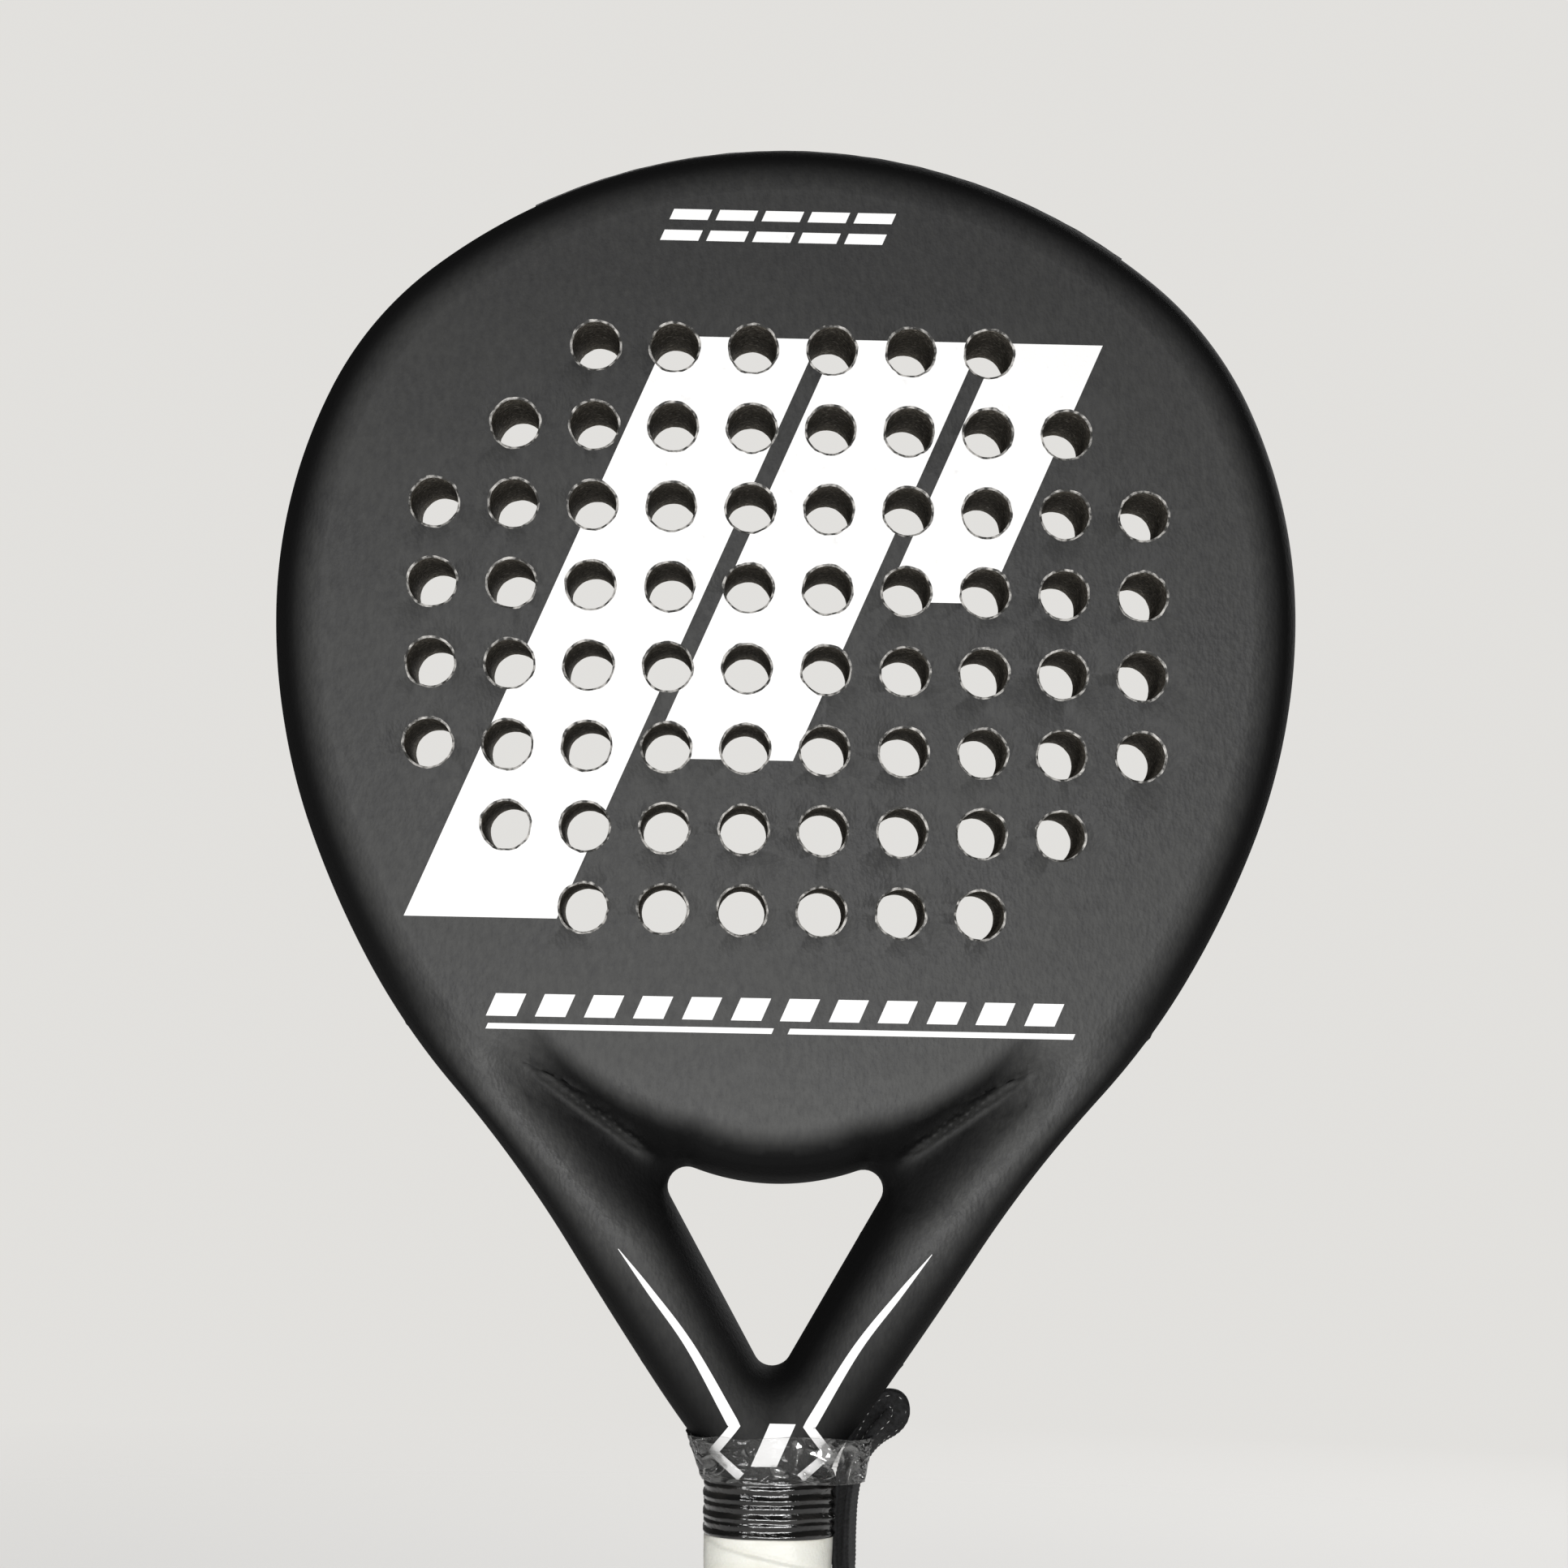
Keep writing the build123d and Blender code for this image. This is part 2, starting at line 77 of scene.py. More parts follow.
# Right half of the outer outline from the tip down, as tangent arcs through these points.
OUTLINE = [
    (0.0, TIP),
    (92.3, 422.8),
    (117.6, 390.8),
    (130.0, 334.8),
    (119.7, 278.8),
    (104.8, 246.8),
    (82.0, 214.8),
    (51.6, 174.8),
    (30.4, 142.8),
    (19.3, 127.5),
    (15.2, NECK_LOW),
]
OUTLINE_STEP = 1.7

# Head: its rounded rim, and the curve under the bridge with the face's lower edge above it.
RIM_WIDTH = 13.0
BRIDGE_ARC = [(0.0, 191.5), (20.2, 195.0), (95.4, 231.0)]
FACE_LIFT = 7.2
VALLEY_END = [(33.0, 200.6), (50.0, 211.8), (66.0, 223.5), (88.0, 222.0)]
VALLEY_ROUNDING = [(0.0, 7.2), (20.2, 7.2), (33.0, 5.5), (50.0, 3.5), (66.0, 2.5)]
RIDGE = [(31.0, 198.2), (63.5, 221.0)]
RIDGE_HEIGHT = 1.2
RIDGE_SPREAD = 1.3
RIDGE_START = (30.0, 37.0)
RIDGE_FADE = (56.0, 65.0)

# Throat opening: straight sides that meet at a virtual tip, with every corner rounded, and the points of
# each stretch.
THROAT_SLOPE = 0.5616
THROAT_TIP = 140.8
THROAT_CORNER = 4.9
BRIDGE_RADIUS = 60.04
TIP_POINTS = 9
CORNER_POINTS = 13
SIDE_POINTS = 26
BRIDGE_POINTS = 12

# Arms: half depth of their crest, how far in it lies, how steeply the inner flank falls, and the web.
NECK_HALF_DEPTH = 16.4
TAPER_START = 205.0
CREST_INSET = 14.5
CREST_PLACES = ([165.0, 192.0, 212.0, 240.0], [14.0, 11.0, 9.2, CREST_INSET])
CREST_BLEND = 1.4
CREST_FLAT = 0.5
CREST_EASE = 2.0
FLANK_SLOPE = 0.75
FLANK_HEIGHTS = (172.0, 192.0)
WEB_DEPTH = 8.0
WEB_ROUNDING = 6.0

# How widely these forms blend, with less room for it under the flat faces and close to the edge.
BLEND = 3.0
BLEND_UNDER_FLAT = 3.0
BLEND_OVER_EDGE = 4.0
BLEND_LEAST = 1e-3

# Half the distance over which the surface's slope is measured.
SLOPE_STEP = 0.05

# Softened creases beside the bridge.
RELAX_FROM_RIM = (4.0, 9.0)
RELAX_FROM_THROAT = (1.5, 5.0)
RELAX_X = (16.0, 24.0)
RELAX_LOW = (176.0, 188.0)
RELAX_HIGH = (232.0, 240.0)
RELAX_ROUNDS = 12

# Where the lacquer turns from black to charcoal as painted sheen, as distances or heights of the start and
# the end: painted shade (black) along the rims and in the valley under the face, painted charcoal sheen on
# the face that fades towards the top, a painted highlight band along the arm crests and painted highlight
# lines on the ridges.
RIM_SHADE = (4.0, 13.0)
VALLEY_SHADE_AT = (20.0, 38.0)
VALLEY_SHADE = ((7.5, 3.5), (15.0, 10.5))
VALLEY_FADE = (50.0, 68.0)
FACE_SHADE = ([200.0, 240.0, 330.0, 420.0], [1.0, 0.85, 0.75, 0.5])
CREST_SHADE = 7.5
CREST_TOP = (222.0, 262.0)
CREST_LOW = (132.0, 190.0)
CREST_LEAST = 0.4
RIDGE_SHADE = 2.2
RIDGE_HIGHLIGHT = 0.9

# Perforations.
HOLE_RADIUS = 6.0
HOLE_PITCH_X = 19.8
HOLE_PITCH_Z = 20.2
HOLE_CENTRE_Z = 330.6
HOLES_PER_ROW = [6, 8, 10, 10, 10, 10, 8, 6]
HOLE_SIDES = 40
CHIP_WIDTH = 0.55
CHIP_DEPTH = 0.4
SKIN = 1.2

# How uneven their edges and walls are; RAGGED holds (change per hole, bumps round it, share) of each noise.
RAGGED = [(7.31, 2.2, 1.0), (3.17, 6.0, 0.6)]
EDGE_ROUGHNESS = 0.3
EDGE_LEAST = -0.2
CHIP_ROUGHNESS = 0.12
SKIN_ROUGHNESS = 0.1
FOAM_ROUGHNESS = 0.24
FOAM_RINGS = 13
RING_PHASE = 0.37

# Mesh of the flat projection: where the borders between the frame's pieces run.
BRIDGE_BORDER = (23.0, BRIDGE_ARC[-1][0] - 1)
HOOP_BORDER = (205.0, 236.0)
YOKE_BORDER = (4.0, 36.0)
NECK_POINTS = 20
FACE_CORNER_GAP = 0.8

# Rows of points beside the rims and the ridges, and the gap that they keep from the points before them.
RIM_ROWS = 8
THROAT_ROWS = 6
THROAT_ROWS_WIDTH = 9.0
INSET_TOLERANCE = 0.03
ROW_GAP = 0.3
RIDGE_ROWS = (-2.6, -1.8, -1.2, -0.6, 0.0, 0.6, 1.2, 1.8, 2.6)
RIDGE_POINTS = 42
RIDGE_GAP = 0.5

# Staggered grids that fill the rest, as low corner, high corner and pitch, and the gap that each keeps.
# Their rows lie ROW_SHARE of the pitch apart.
CREASE_GRID = ((-92, RELAX_LOW[0]), (92, RELAX_HIGH[1]), 1.3)
CREASE_FROM_MIDDLE = 18
CREASE_GAP = 0.9
FINE_GRID = ((-100, NECK_LOW), (100, 236), 1.9)
FINE_GAP = 1.3
COARSE_GRID = ((-130, 236), (130, TIP), 7.0)
COARSE_GAP = 3.6
ROW_SHARE = 0.866

# What turns the front's points and normals to the rear, and where shading stays sharp.
MIRROR = (1, -1, 1)
SHARP_ANGLE = radians(50)
SHEET_SHARP_ANGLE = radians(35)


# ---------------------------------------------------------------- lines and distances

BATCH = 4000
AT_EDGE = 0.01


def arc_chain(points, tangent, step):
    """Points along arcs through the given points, each leaving the way the last one arrived."""
    line = [np.array(points[0], float)]
    heading = atan2(tangent[1], tangent[0])
    for start, end in zip(points, points[1:]):
        chord = np.subtract(end, start)
        length = hypot(*chord)
        half_turn = (atan2(chord[1], chord[0]) - heading + pi) % (2 * pi) - pi
        count = max(2, round(length / step))
        for index in range(1, count + 1):
            share = index / count
            reach = share if abs(half_turn) < 1e-6 else sin(half_turn * share) / sin(half_turn)
            angle = heading + half_turn * share
            line.append(np.array(start) + length * reach * np.array((cos(angle), sin(angle))))
        heading += 2 * half_turn
    return np.array(line)


def both_sides(right):
    """A line from the left end through the middle to the right end, from its right half."""
    left = right[:0:-1] * (-1, 1)
    return np.vstack((left, right))


def distance(points, line):
    """Distance of each point from a polyline, a batch of points at a time."""
    start = line[:-1]
    run = line[1:] - start
    square = (run ** 2).sum(1)
    best = np.empty(len(points))
    for first in range(0, len(points), BATCH):
        part = points[first:first + BATCH]
        away = part[:, None, :] - start
        share = np.clip((away * run).sum(2) / square, 0, 1)
        gap = away - share[:, :, None] * run
        best[first:first + BATCH] = np.sqrt((gap ** 2).sum(2)).min(1)
    return best


def ramp(value, low, high):
    """0 at low, 1 at high and straight between them."""
    return np.clip((value - low) / (high - low), 0, 1)


def noise_round(angle, reach, along):
    """Noise that meets itself round a loop; a larger reach gives more bumps round it."""
    return noise.noise(Vector((reach * cos(angle), reach * sin(angle), along)))


def smooth_step(value, low, high):
    """0 before low, 1 after high, and a smooth rise between."""
    share = ramp(value, low, high)
    return share * share * (3 - 2 * share)


def inside(points, loop):
    """Whether each point is inside a closed polygon."""
    x, z = points[:, 0], points[:, 1]
    result = np.zeros(len(points), bool)
    for (x1, z1), (x2, z2) in zip(loop, np.roll(loop, -1, 0)):
        if z1 == z2:
            continue
        crosses = (z1 > z) != (z2 > z)
        result ^= crosses & (x < (x2 - x1) * (z - z1) / (z2 - z1) + x1)
    return result


def inward_normals(line):
    """Unit normals on the right-hand side of a line."""
    run = np.gradient(line, axis=0)
    run /= np.hypot(run[:, 0], run[:, 1])[:, None]
    return np.stack((run[:, 1], -run[:, 0]), 1)


def throat_loop():
    """The open triangle between the arms as a closed loop, counter-clockwise from its lower tip."""
    norm = hypot(1, THROAT_SLOPE)
    lean = atan2(1, THROAT_SLOPE)
    tip_centre = np.array((0, THROAT_TIP + THROAT_CORNER * norm / THROAT_SLOPE))
    arc_centre_z = BRIDGE_ARC[0][1] + BRIDGE_RADIUS
    offset = THROAT_SLOPE * THROAT_TIP + THROAT_CORNER * norm
    a = THROAT_SLOPE ** 2 + 1
    b = -2 * (THROAT_SLOPE * offset + arc_centre_z)
    c = offset ** 2 + arc_centre_z ** 2 - (BRIDGE_RADIUS + THROAT_CORNER) ** 2
    corner_z = (-b - sqrt(b * b - 4 * a * c)) / (2 * a)
    corner = np.array((THROAT_SLOPE * corner_z - offset, corner_z))
    top_angle = atan2(arc_centre_z - corner_z, -corner[0])
    tip_arc = ring_points(tip_centre, THROAT_CORNER, -pi / 2, lean - pi / 2, TIP_POINTS)
    corner_arc = ring_points(corner, THROAT_CORNER, lean - pi / 2, top_angle, CORNER_POINTS)
    side = np.linspace(tip_arc[-1], corner_arc[0], SIDE_POINTS)[1:-1]
    sag = np.linspace(corner_arc[-1][0], 0, BRIDGE_POINTS)[1:]
    top = np.stack((sag, arc_centre_z - np.sqrt(BRIDGE_RADIUS ** 2 - sag ** 2)), 1)
    right = np.vstack((tip_arc, side, corner_arc, top))
    left = right[-2:0:-1] * (-1, 1)
    return np.vstack((right, left))


def ring_points(centre, radius, start, end, count):
    """Points on an arc."""
    angles = np.linspace(start, end, count)
    return centre + radius * np.stack((np.cos(angles), np.sin(angles)), 1)


def closed(loop):
    """A loop as a line that returns to its first point."""
    return np.vstack((loop, loop[:1]))


def hole_places():
    """Centres of the perforations as (x, z)."""
    rows = len(HOLES_PER_ROW)
    for row, count in enumerate(HOLES_PER_ROW):
        z = HOLE_CENTRE_Z + HOLE_PITCH_Z * ((rows - 1) / 2 - row)
        for column in range(count):
            yield HOLE_PITCH_X * (column - (count - 1) / 2), z


def ragged(seed, angle, amount):
    """Uneven amount round a hole's edge, the same for the same seed."""
    rough = 0
    for spread, reach, share in RAGGED:
        rough += share * noise.noise(Vector((seed * spread, reach * cos(angle), reach * sin(angle))))
    return amount * rough


def hole_loop(centre, seed, radius, roughness, least=-1.0):
    """The uneven edge round a hole; least is how far the bumps may reach inwards."""
    angles = 2 * pi * np.arange(HOLE_SIDES) / HOLE_SIDES
    reach = np.array([radius + max(ragged(seed, angle, roughness), least) for angle in angles])
    return centre + reach[:, None] * np.stack((np.cos(angles), np.sin(angles)), 1)


outline = both_sides(arc_chain(OUTLINE, (1, 0), OUTLINE_STEP))
throat = throat_loop()
valley = both_sides(np.vstack((arc_chain(BRIDGE_ARC[:2], (1, 0), OUTLINE_STEP), VALLEY_END)))
bridge_line = both_sides(arc_chain(BRIDGE_ARC, (1, 0), OUTLINE_STEP))
holes = list(hole_places())
hole_loops = [
    hole_loop(centre, index, HOLE_RADIUS + CHIP_WIDTH, EDGE_ROUGHNESS, EDGE_LEAST)
    for index, centre in enumerate(holes)
]


# ---------------------------------------------------------------- the racket's half thickness

def rounding(share):
    """Quarter-round profile: 0 at the edge, 1 from the full width inwards."""
    return np.sqrt(np.maximum(0, 1 - (1 - np.clip(share, 0, 1)) ** 2))


def smooth_max(a, b):
    """The larger height, blended where the two are close, but never at the edge or on the flat."""
    high = np.maximum(a, b)
    room = np.minimum((HALF_DEPTH - high) / BLEND_UNDER_FLAT, high / BLEND_OVER_EDGE)
    reach = BLEND * np.clip(room, BLEND_LEAST, 1)
    return high + np.maximum(reach - np.abs(a - b), 0) ** 2 / (4 * reach)


def above_valley(x, z):
    """Whether each place is above the valley; x is the distance from the middle."""
    return z > np.interp(x, *valley[len(valley) // 2:].T)


def half_thickness(points):
    """Half the racket's thickness at each (x, z)."""
    x, z = np.abs(points[:, 0]), points[:, 1]
    from_rim = distance(points, outline)
    from_throat = distance(points, closed(throat))
    width = np.interp(x, *np.array(VALLEY_ROUNDING).T)
    rim = ramp(from_rim, RIM_WIDTH, 0)
    low = np.where(above_valley(x, z), ramp(distance(points, valley), width, 0), 1)
    head = HALF_DEPTH * np.sqrt(np.maximum(0, 1 - rim ** 2 - low ** 2))
    crest = NECK_HALF_DEPTH + (HALF_DEPTH - NECK_HALF_DEPTH) * ramp(z, NECK_LOW, TAPER_START)
    inset = np.interp(z, *CREST_PLACES)
    share = from_rim / (from_rim + np.minimum(from_throat, inset) + 1e-9)
    tube = crest * 2 * np.sqrt(np.maximum(share * (1 - share), 0))
    past = from_rim - inset - CREST_FLAT
    eased = np.where(past > -CREST_EASE, (past + CREST_EASE) ** 2 / (4 * CREST_EASE), 0)
    flank = FLANK_SLOPE * np.where(past > CREST_EASE, past, eased)
    limit = HALF_DEPTH - flank * ramp(z, *FLANK_HEIGHTS)
    close = np.maximum(CREST_BLEND - np.abs(tube - limit), 0)
    arm = np.maximum(np.minimum(tube, limit) - close ** 2 / (4 * CREST_BLEND), 0)
    web = WEB_DEPTH * np.minimum(rounding(from_throat / WEB_ROUNDING), rounding(from_rim / RIM_WIDTH))
    return smooth_max(smooth_max(head, arm), web)


def edge_normals(points):
    """Outward directions at points that lie on the outline or round the throat."""
    places = np.vstack((outline, throat))
    inward = np.vstack((inward_normals(outline), inward_normals(closed(throat))[:-1]))
    nearest = [((places - point) ** 2).sum(1).argmin() for point in points]
    x, z = -inward[nearest].T
    return np.stack((x, np.zeros(len(points)), z), 1)


def surface_normals(points, height):
    """Outward normals of the front surface y = -height(x, z)."""
    slopes = []
    for step in ((SLOPE_STEP, 0), (0, SLOPE_STEP)):
        slopes.append((half_thickness(points + step) - half_thickness(points - step)) / (2 * SLOPE_STEP))
    normals = np.stack((-slopes[0], -np.ones(len(points)), -slopes[1]), 1)
    normals[height == 0] = edge_normals(points[height == 0])
    return normals / np.linalg.norm(normals, axis=1)[:, None]


def painted_sheen(points):
    """Painted sheen on the black lacquer at each (x, z): 0 (painted shade) along the rims and in the
    valley, 1 on the face, with a painted highlight band on the crests and painted highlight lines on the
    ridges.
    """
    x, z = np.abs(points[:, 0]), points[:, 1]
    from_rim = distance(points, outline)
    # Painted shade in the valley under the face.
    valley_end = smooth_step(x, *VALLEY_FADE)
    shade = [np.interp(x, VALLEY_SHADE_AT, ends) for ends in VALLEY_SHADE]
    open_valley = np.maximum(smooth_step(distance(points, valley), *shade), valley_end)
    face = smooth_step(from_rim, *RIM_SHADE) * np.where(above_valley(x, z), open_valley, valley_end)
    # Painted sheen on the face, brighter low down and darker towards the top, as the front lamp's sheen
    # falls.
    face *= np.interp(z, *FACE_SHADE)
    # A painted highlight band along each arm's crest.
    crest = np.exp(-((from_rim - np.interp(z, *CREST_PLACES)) / CREST_SHADE) ** 2)
    crest *= 1 - smooth_step(z, *CREST_TOP)
    crest *= CREST_LEAST + (1 - CREST_LEAST) * smooth_step(z, *CREST_LOW)
    # Painted highlight lines along the ridges.
    return np.maximum(np.maximum(face, crest), RIDGE_HIGHLIGHT * ridge_share(points, RIDGE_SHADE))


def ridge_share(points, spread):
    """1 on the thin ridges below the face, falling to 0 away from them and at their ends."""
    x, z = np.abs(points[:, 0]), points[:, 1]
    away = distance(np.stack((x, z), 1), np.array(RIDGE))
    ends = smooth_step(x, *RIDGE_START) * (1 - smooth_step(x, *RIDGE_FADE))
    return np.exp(-(away / spread) ** 2) * ends


def relaxed(points, triangles, heights, normals):
    """Heights and normals with the creases beside the bridge softened, and the ridges added."""
    x, z = np.abs(points[:, 0]), points[:, 1]
    weight = smooth_step(distance(points, outline), *RELAX_FROM_RIM) * smooth_step(x, *RELAX_X)
    weight *= smooth_step(distance(points, closed(throat)), *RELAX_FROM_THROAT)
    weight *= smooth_step(z, *RELAX_LOW) * (1 - smooth_step(z, *RELAX_HIGH))
    pairs = np.vstack((triangles[:, :2], triangles[:, 1:], triangles[:, [2, 0]]))
    pairs = np.vstack((pairs, pairs[:, ::-1]))
    count = np.maximum(np.bincount(pairs[:, 0], minlength=len(points)), 1)
    for _ in range(RELAX_ROUNDS):
        mean = np.bincount(pairs[:, 0], heights[pairs[:, 1]], len(points)) / count
        heights = heights + weight * (mean - heights)
    heights = np.minimum(heights + RIDGE_HEIGHT * weight * ridge_share(points, RIDGE_SPREAD), HALF_DEPTH)
    front = np.insert(points, 1, -heights, axis=1)
    a, b, c = (front[triangles[:, corner]] for corner in range(3))
    face_normals = np.cross(b - a, c - a)
    soft = np.zeros_like(normals)
    for corner in range(3):
        np.add.at(soft, triangles[:, corner], face_normals)
    soft /= np.maximum(np.linalg.norm(soft, axis=1), 1e-9)[:, None]
    mixed = normals * (1 - weight)[:, None] + soft * weight[:, None]
    return heights, mixed / np.linalg.norm(mixed, axis=1)[:, None]


# ---------------------------------------------------------------- meshes

def make_object(name, vertices, faces, materials, body="racket", slots=None, smooth=True):
    """A mesh object from vertices in millimetres; slots gives each face's material."""
    mesh = bpy.data.meshes.new(name)
    mesh.from_pydata((np.asarray(vertices) * MM).tolist(), [], [list(map(int, face)) for face in faces])
    for material in materials:
        mesh.materials.append(material)
    if slots is not None:
        mesh.polygons.foreach_set("material_index", np.asarray(slots, np.int32))
    mesh.polygons.foreach_set("use_smooth", np.full(len(faces), smooth))
    mesh.update()
    piece = bpy.data.objects.new(name, mesh)
    bpy.context.scene.collection.objects.link(piece)
    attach(piece, body)
    return piece


def add_painted_sheen(piece, amounts):
    """Store the painted sheen of the lacquer at each vertex; the rest of the vertices take 1."""
    values = np.ones(len(piece.data.vertices))
    values[:len(amounts)] = amounts
    piece.data.attributes.new("painted_sheen", "FLOAT", "POINT").data.foreach_set("value", values)


def stand_for(piece, slot, *nodes):
    """Hide the CAD nodes that a piece stands for."""
    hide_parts(*nodes)


def set_normals(piece, normals_by_face):
    """Fix the shading normals: one row per face corner, or None to keep the face's own."""
    mesh = piece.data
    loops = np.zeros((len(mesh.loops), 3))
    for face, normals in zip(mesh.polygons, normals_by_face):
        for corner, loop in enumerate(face.loop_indices):
            loops[loop] = face.normal if normals is None else normals[corner]
    mesh.normals_split_custom_set(loops.tolist())


def border_lines():
    """Lines that the mesh keeps as edges: the rims and the borders between the frame's pieces."""
    lines = [outline, closed(throat)]
    for side in (-1, 1):
        x = side * bridge_line[:, 0]
        lines.append(bridge_line[(x > BRIDGE_BORDER[0]) & (x < BRIDGE_BORDER[1])])
        lines.append(np.array([(side * BRIDGE_END, z) for z in np.arange(*HOOP_BORDER, OUTLINE_STEP)]))
        lines.append(np.array([(side * x, YOKE_TOP) for x in np.arange(*YOKE_BORDER, OUTLINE_STEP)]))
    neck = OUTLINE[-1][0]
    lines.append(np.array([(x, NECK_LOW) for x in np.linspace(-neck, neck, NECK_POINTS)]))
    lines.append(closed(face_loop()))
    return lines


def face_loop():
    """The border of the flat face, inside the rounded rim and above the bridge."""
    inner = outline + RIM_WIDTH * inward_normals(outline)
    low = bridge_line - FACE_LIFT * inward_normals(bridge_line)
    floor = np.interp(inner[:, 0], low[:, 0], low[:, 1])
    upper = inner[inner[:, 1] > floor]
    reach = abs(upper[0][0])
    lower = low[np.abs(low[:, 0]) < reach - FACE_CORNER_GAP][::-1]
    return np.vstack((upper, lower))


def ring_rows(line, width, rows, other):
    """Rows of points along a rim, closer together towards its edge, where they are nearest to it."""
    normals = inward_normals(line)
    found = []
    for row in range(1, rows):
        inset = width * (1 - cos(row / rows * pi / 2))
        points = line + inset * normals
        keep = (distance(points, line) > inset - INSET_TOLERANCE) & (distance(points, other) > inset)
        found.append(points[keep])
    return np.vstack(found)


def ridge_rows():
    """Rows of points along both ridges and beside them."""
    line = np.linspace(*RIDGE, RIDGE_POINTS)
    normals = inward_normals(line)
    right = np.vstack([line + offset * normals for offset in RIDGE_ROWS])
    return np.vstack((right, right * (-1, 1)))


def thinned(candidates, taken, gap):
    """Candidates that keep a distance from the points already taken and from each other."""
    cells = {}
    for x, z in taken:
        cells.setdefault((int(x // gap), int(z // gap)), []).append((x, z))
    kept = []
    for x, z in candidates:
        column, row = int(x // gap), int(z // gap)
        near = (
            point
            for i in (column - 1, column, column + 1)
            for j in (row - 1, row, row + 1)
            for point in cells.get((i, j), ())
        )
        if all(hypot(x - a, z - b) >= gap for a, b in near):
            cells.setdefault((column, row), []).append((x, z))
            kept.append((x, z))
    return np.array(kept).reshape(-1, 2)


def grid(low, high, pitch):
    """A staggered grid of points in a rectangle."""
    points = []
    for row, z in enumerate(np.arange(low[1], high[1], pitch * ROW_SHARE)):
        for x in np.arange(low[0] + pitch / 2 * (row % 2), high[0], pitch):
            points.append((x, z))
    return np.array(points)


def triangulate(lines, extra):
    """Triangles between all the points that keep every line as edges."""
    vertices = []
    edges = []
    for line in lines:
        first = len(vertices)
        vertices.extend(line.tolist())
        edges.extend((first + i, first + i + 1) for i in range(len(line) - 1))
    vertices.extend(extra.tolist())
    result = delaunay_2d_cdt([Vector(v) for v in vertices], edges, [], 0, 1e-4)
    return np.array([tuple(v) for v in result[0]]), np.array([tuple(f) for f in result[2]])


def counter_clockwise(points, triangles, least=0.0):
    """The triangles of at least this area, all turned the same way."""
    a, b, c = (points[triangles[:, corner]] for corner in range(3))
    area = np.cross(b - a, c - a) / 2
    turned = np.where(area[:, None] < 0, triangles[:, ::-1], triangles)
    return turned[np.abs(area) >= least]


def racket_mesh():
    """The flat projection as points and triangles, with the openings left out."""
    lines = border_lines() + [closed(loop) for loop in hole_loops]
    rim_rows = ring_rows(outline, RIM_WIDTH, RIM_ROWS, closed(throat))
    throat_rows = ring_rows(closed(throat), THROAT_ROWS_WIDTH, THROAT_ROWS, outline)
    crease = grid(*CREASE_GRID)
    crease = crease[np.abs(crease[:, 0]) > CREASE_FROM_MIDDLE]
    taken = np.vstack(lines)
    rows = []
    for candidates, gap in (
        (np.vstack((rim_rows, throat_rows)), ROW_GAP),
        (ridge_rows(), RIDGE_GAP),
        (crease, CREASE_GAP),
    ):
        rows.append(thinned(candidates, taken, gap))
        taken = np.vstack((taken, rows[-1]))
    rest = [thinned(grid(*FINE_GRID), taken, FINE_GAP), thinned(grid(*COARSE_GRID), taken, COARSE_GAP)]
    points, triangles = triangulate(lines, np.vstack(rows + rest))
    middles = points[triangles].mean(1)
    solid = inside(middles, outline) & ~inside(middles, throat)
    for (x, z), loop in zip(holes, hole_loops):
        near = np.hypot(middles[:, 0] - x, middles[:, 1] - z) < 2 * HOLE_RADIUS
        solid[near] &= ~inside(middles[near], loop)
    return points, counter_clockwise(points, triangles[solid])


def border_edges(triangles):
    """Edges used by one triangle only, in that triangle's direction."""
    edges = {}
    for a, b, c in triangles.tolist():
        for edge in ((a, b), (b, c), (c, a)):
            if edge[::-1] in edges:
                del edges[edge[::-1]]
            else:
                edges[edge] = True
    return list(edges)


def slab(triangles, count, side, open_rims=frozenset()):
    """Faces of a slab whose lower points follow its count upper ones, walled except round open rims."""
    faces = triangles[:, ::-side].tolist() + (triangles[:, ::side] + count).tolist()
    for a, b in border_edges(triangles):
        if a not in open_rims or b not in open_rims:
            faces.append((b, a, a + count, b + count)[::-side])
    return faces


def solid_piece(name, triangles, materials):
    """A full-depth piece of the frame over a set of triangles, closed along its borders."""
    used = np.unique(triangles)
    local = np.searchsorted(used, triangles)
    thick = heights[used] > 0
    front = np.insert(points[used], 1, -heights[used], axis=1)
    rear = (front * MIRROR)[thick]
    behind = np.where(thick, len(used) + np.cumsum(thick) - 1, np.arange(len(used)))
    faces = local.tolist() + behind[local[:, ::-1]].tolist()
    corner_normals = [*normals[triangles], *(normals[triangles[:, ::-1]] * MIRROR)]
    for a, b in border_edges(local):
        wall = list(dict.fromkeys((b, a, behind[a], behind[b])))
        if len(wall) > 2:
            faces.append(wall)
            corner_normals.append(None)
    piece = make_object(name, np.vstack((front, rear)), faces, materials)
    add_painted_sheen(piece, np.concatenate((painted_sheen_amounts[used], painted_sheen_amounts[used][thick])))
    set_normals(piece, corner_normals)
    return piece


def band(first, second, count):
    """Quads between two rings of points, given the index of each ring's first point."""
    return [
        (first + i, first + (i + 1) % count, second + (i + 1) % count, second + i)
        for i in range(count)
    ]


def matched_ring(index, places):
    """The mesh's own vertices on a hole's chipped edge, in order round it."""
    return [int(np.hypot(*(places - point).T).argmin()) for point in hole_loops[index]]


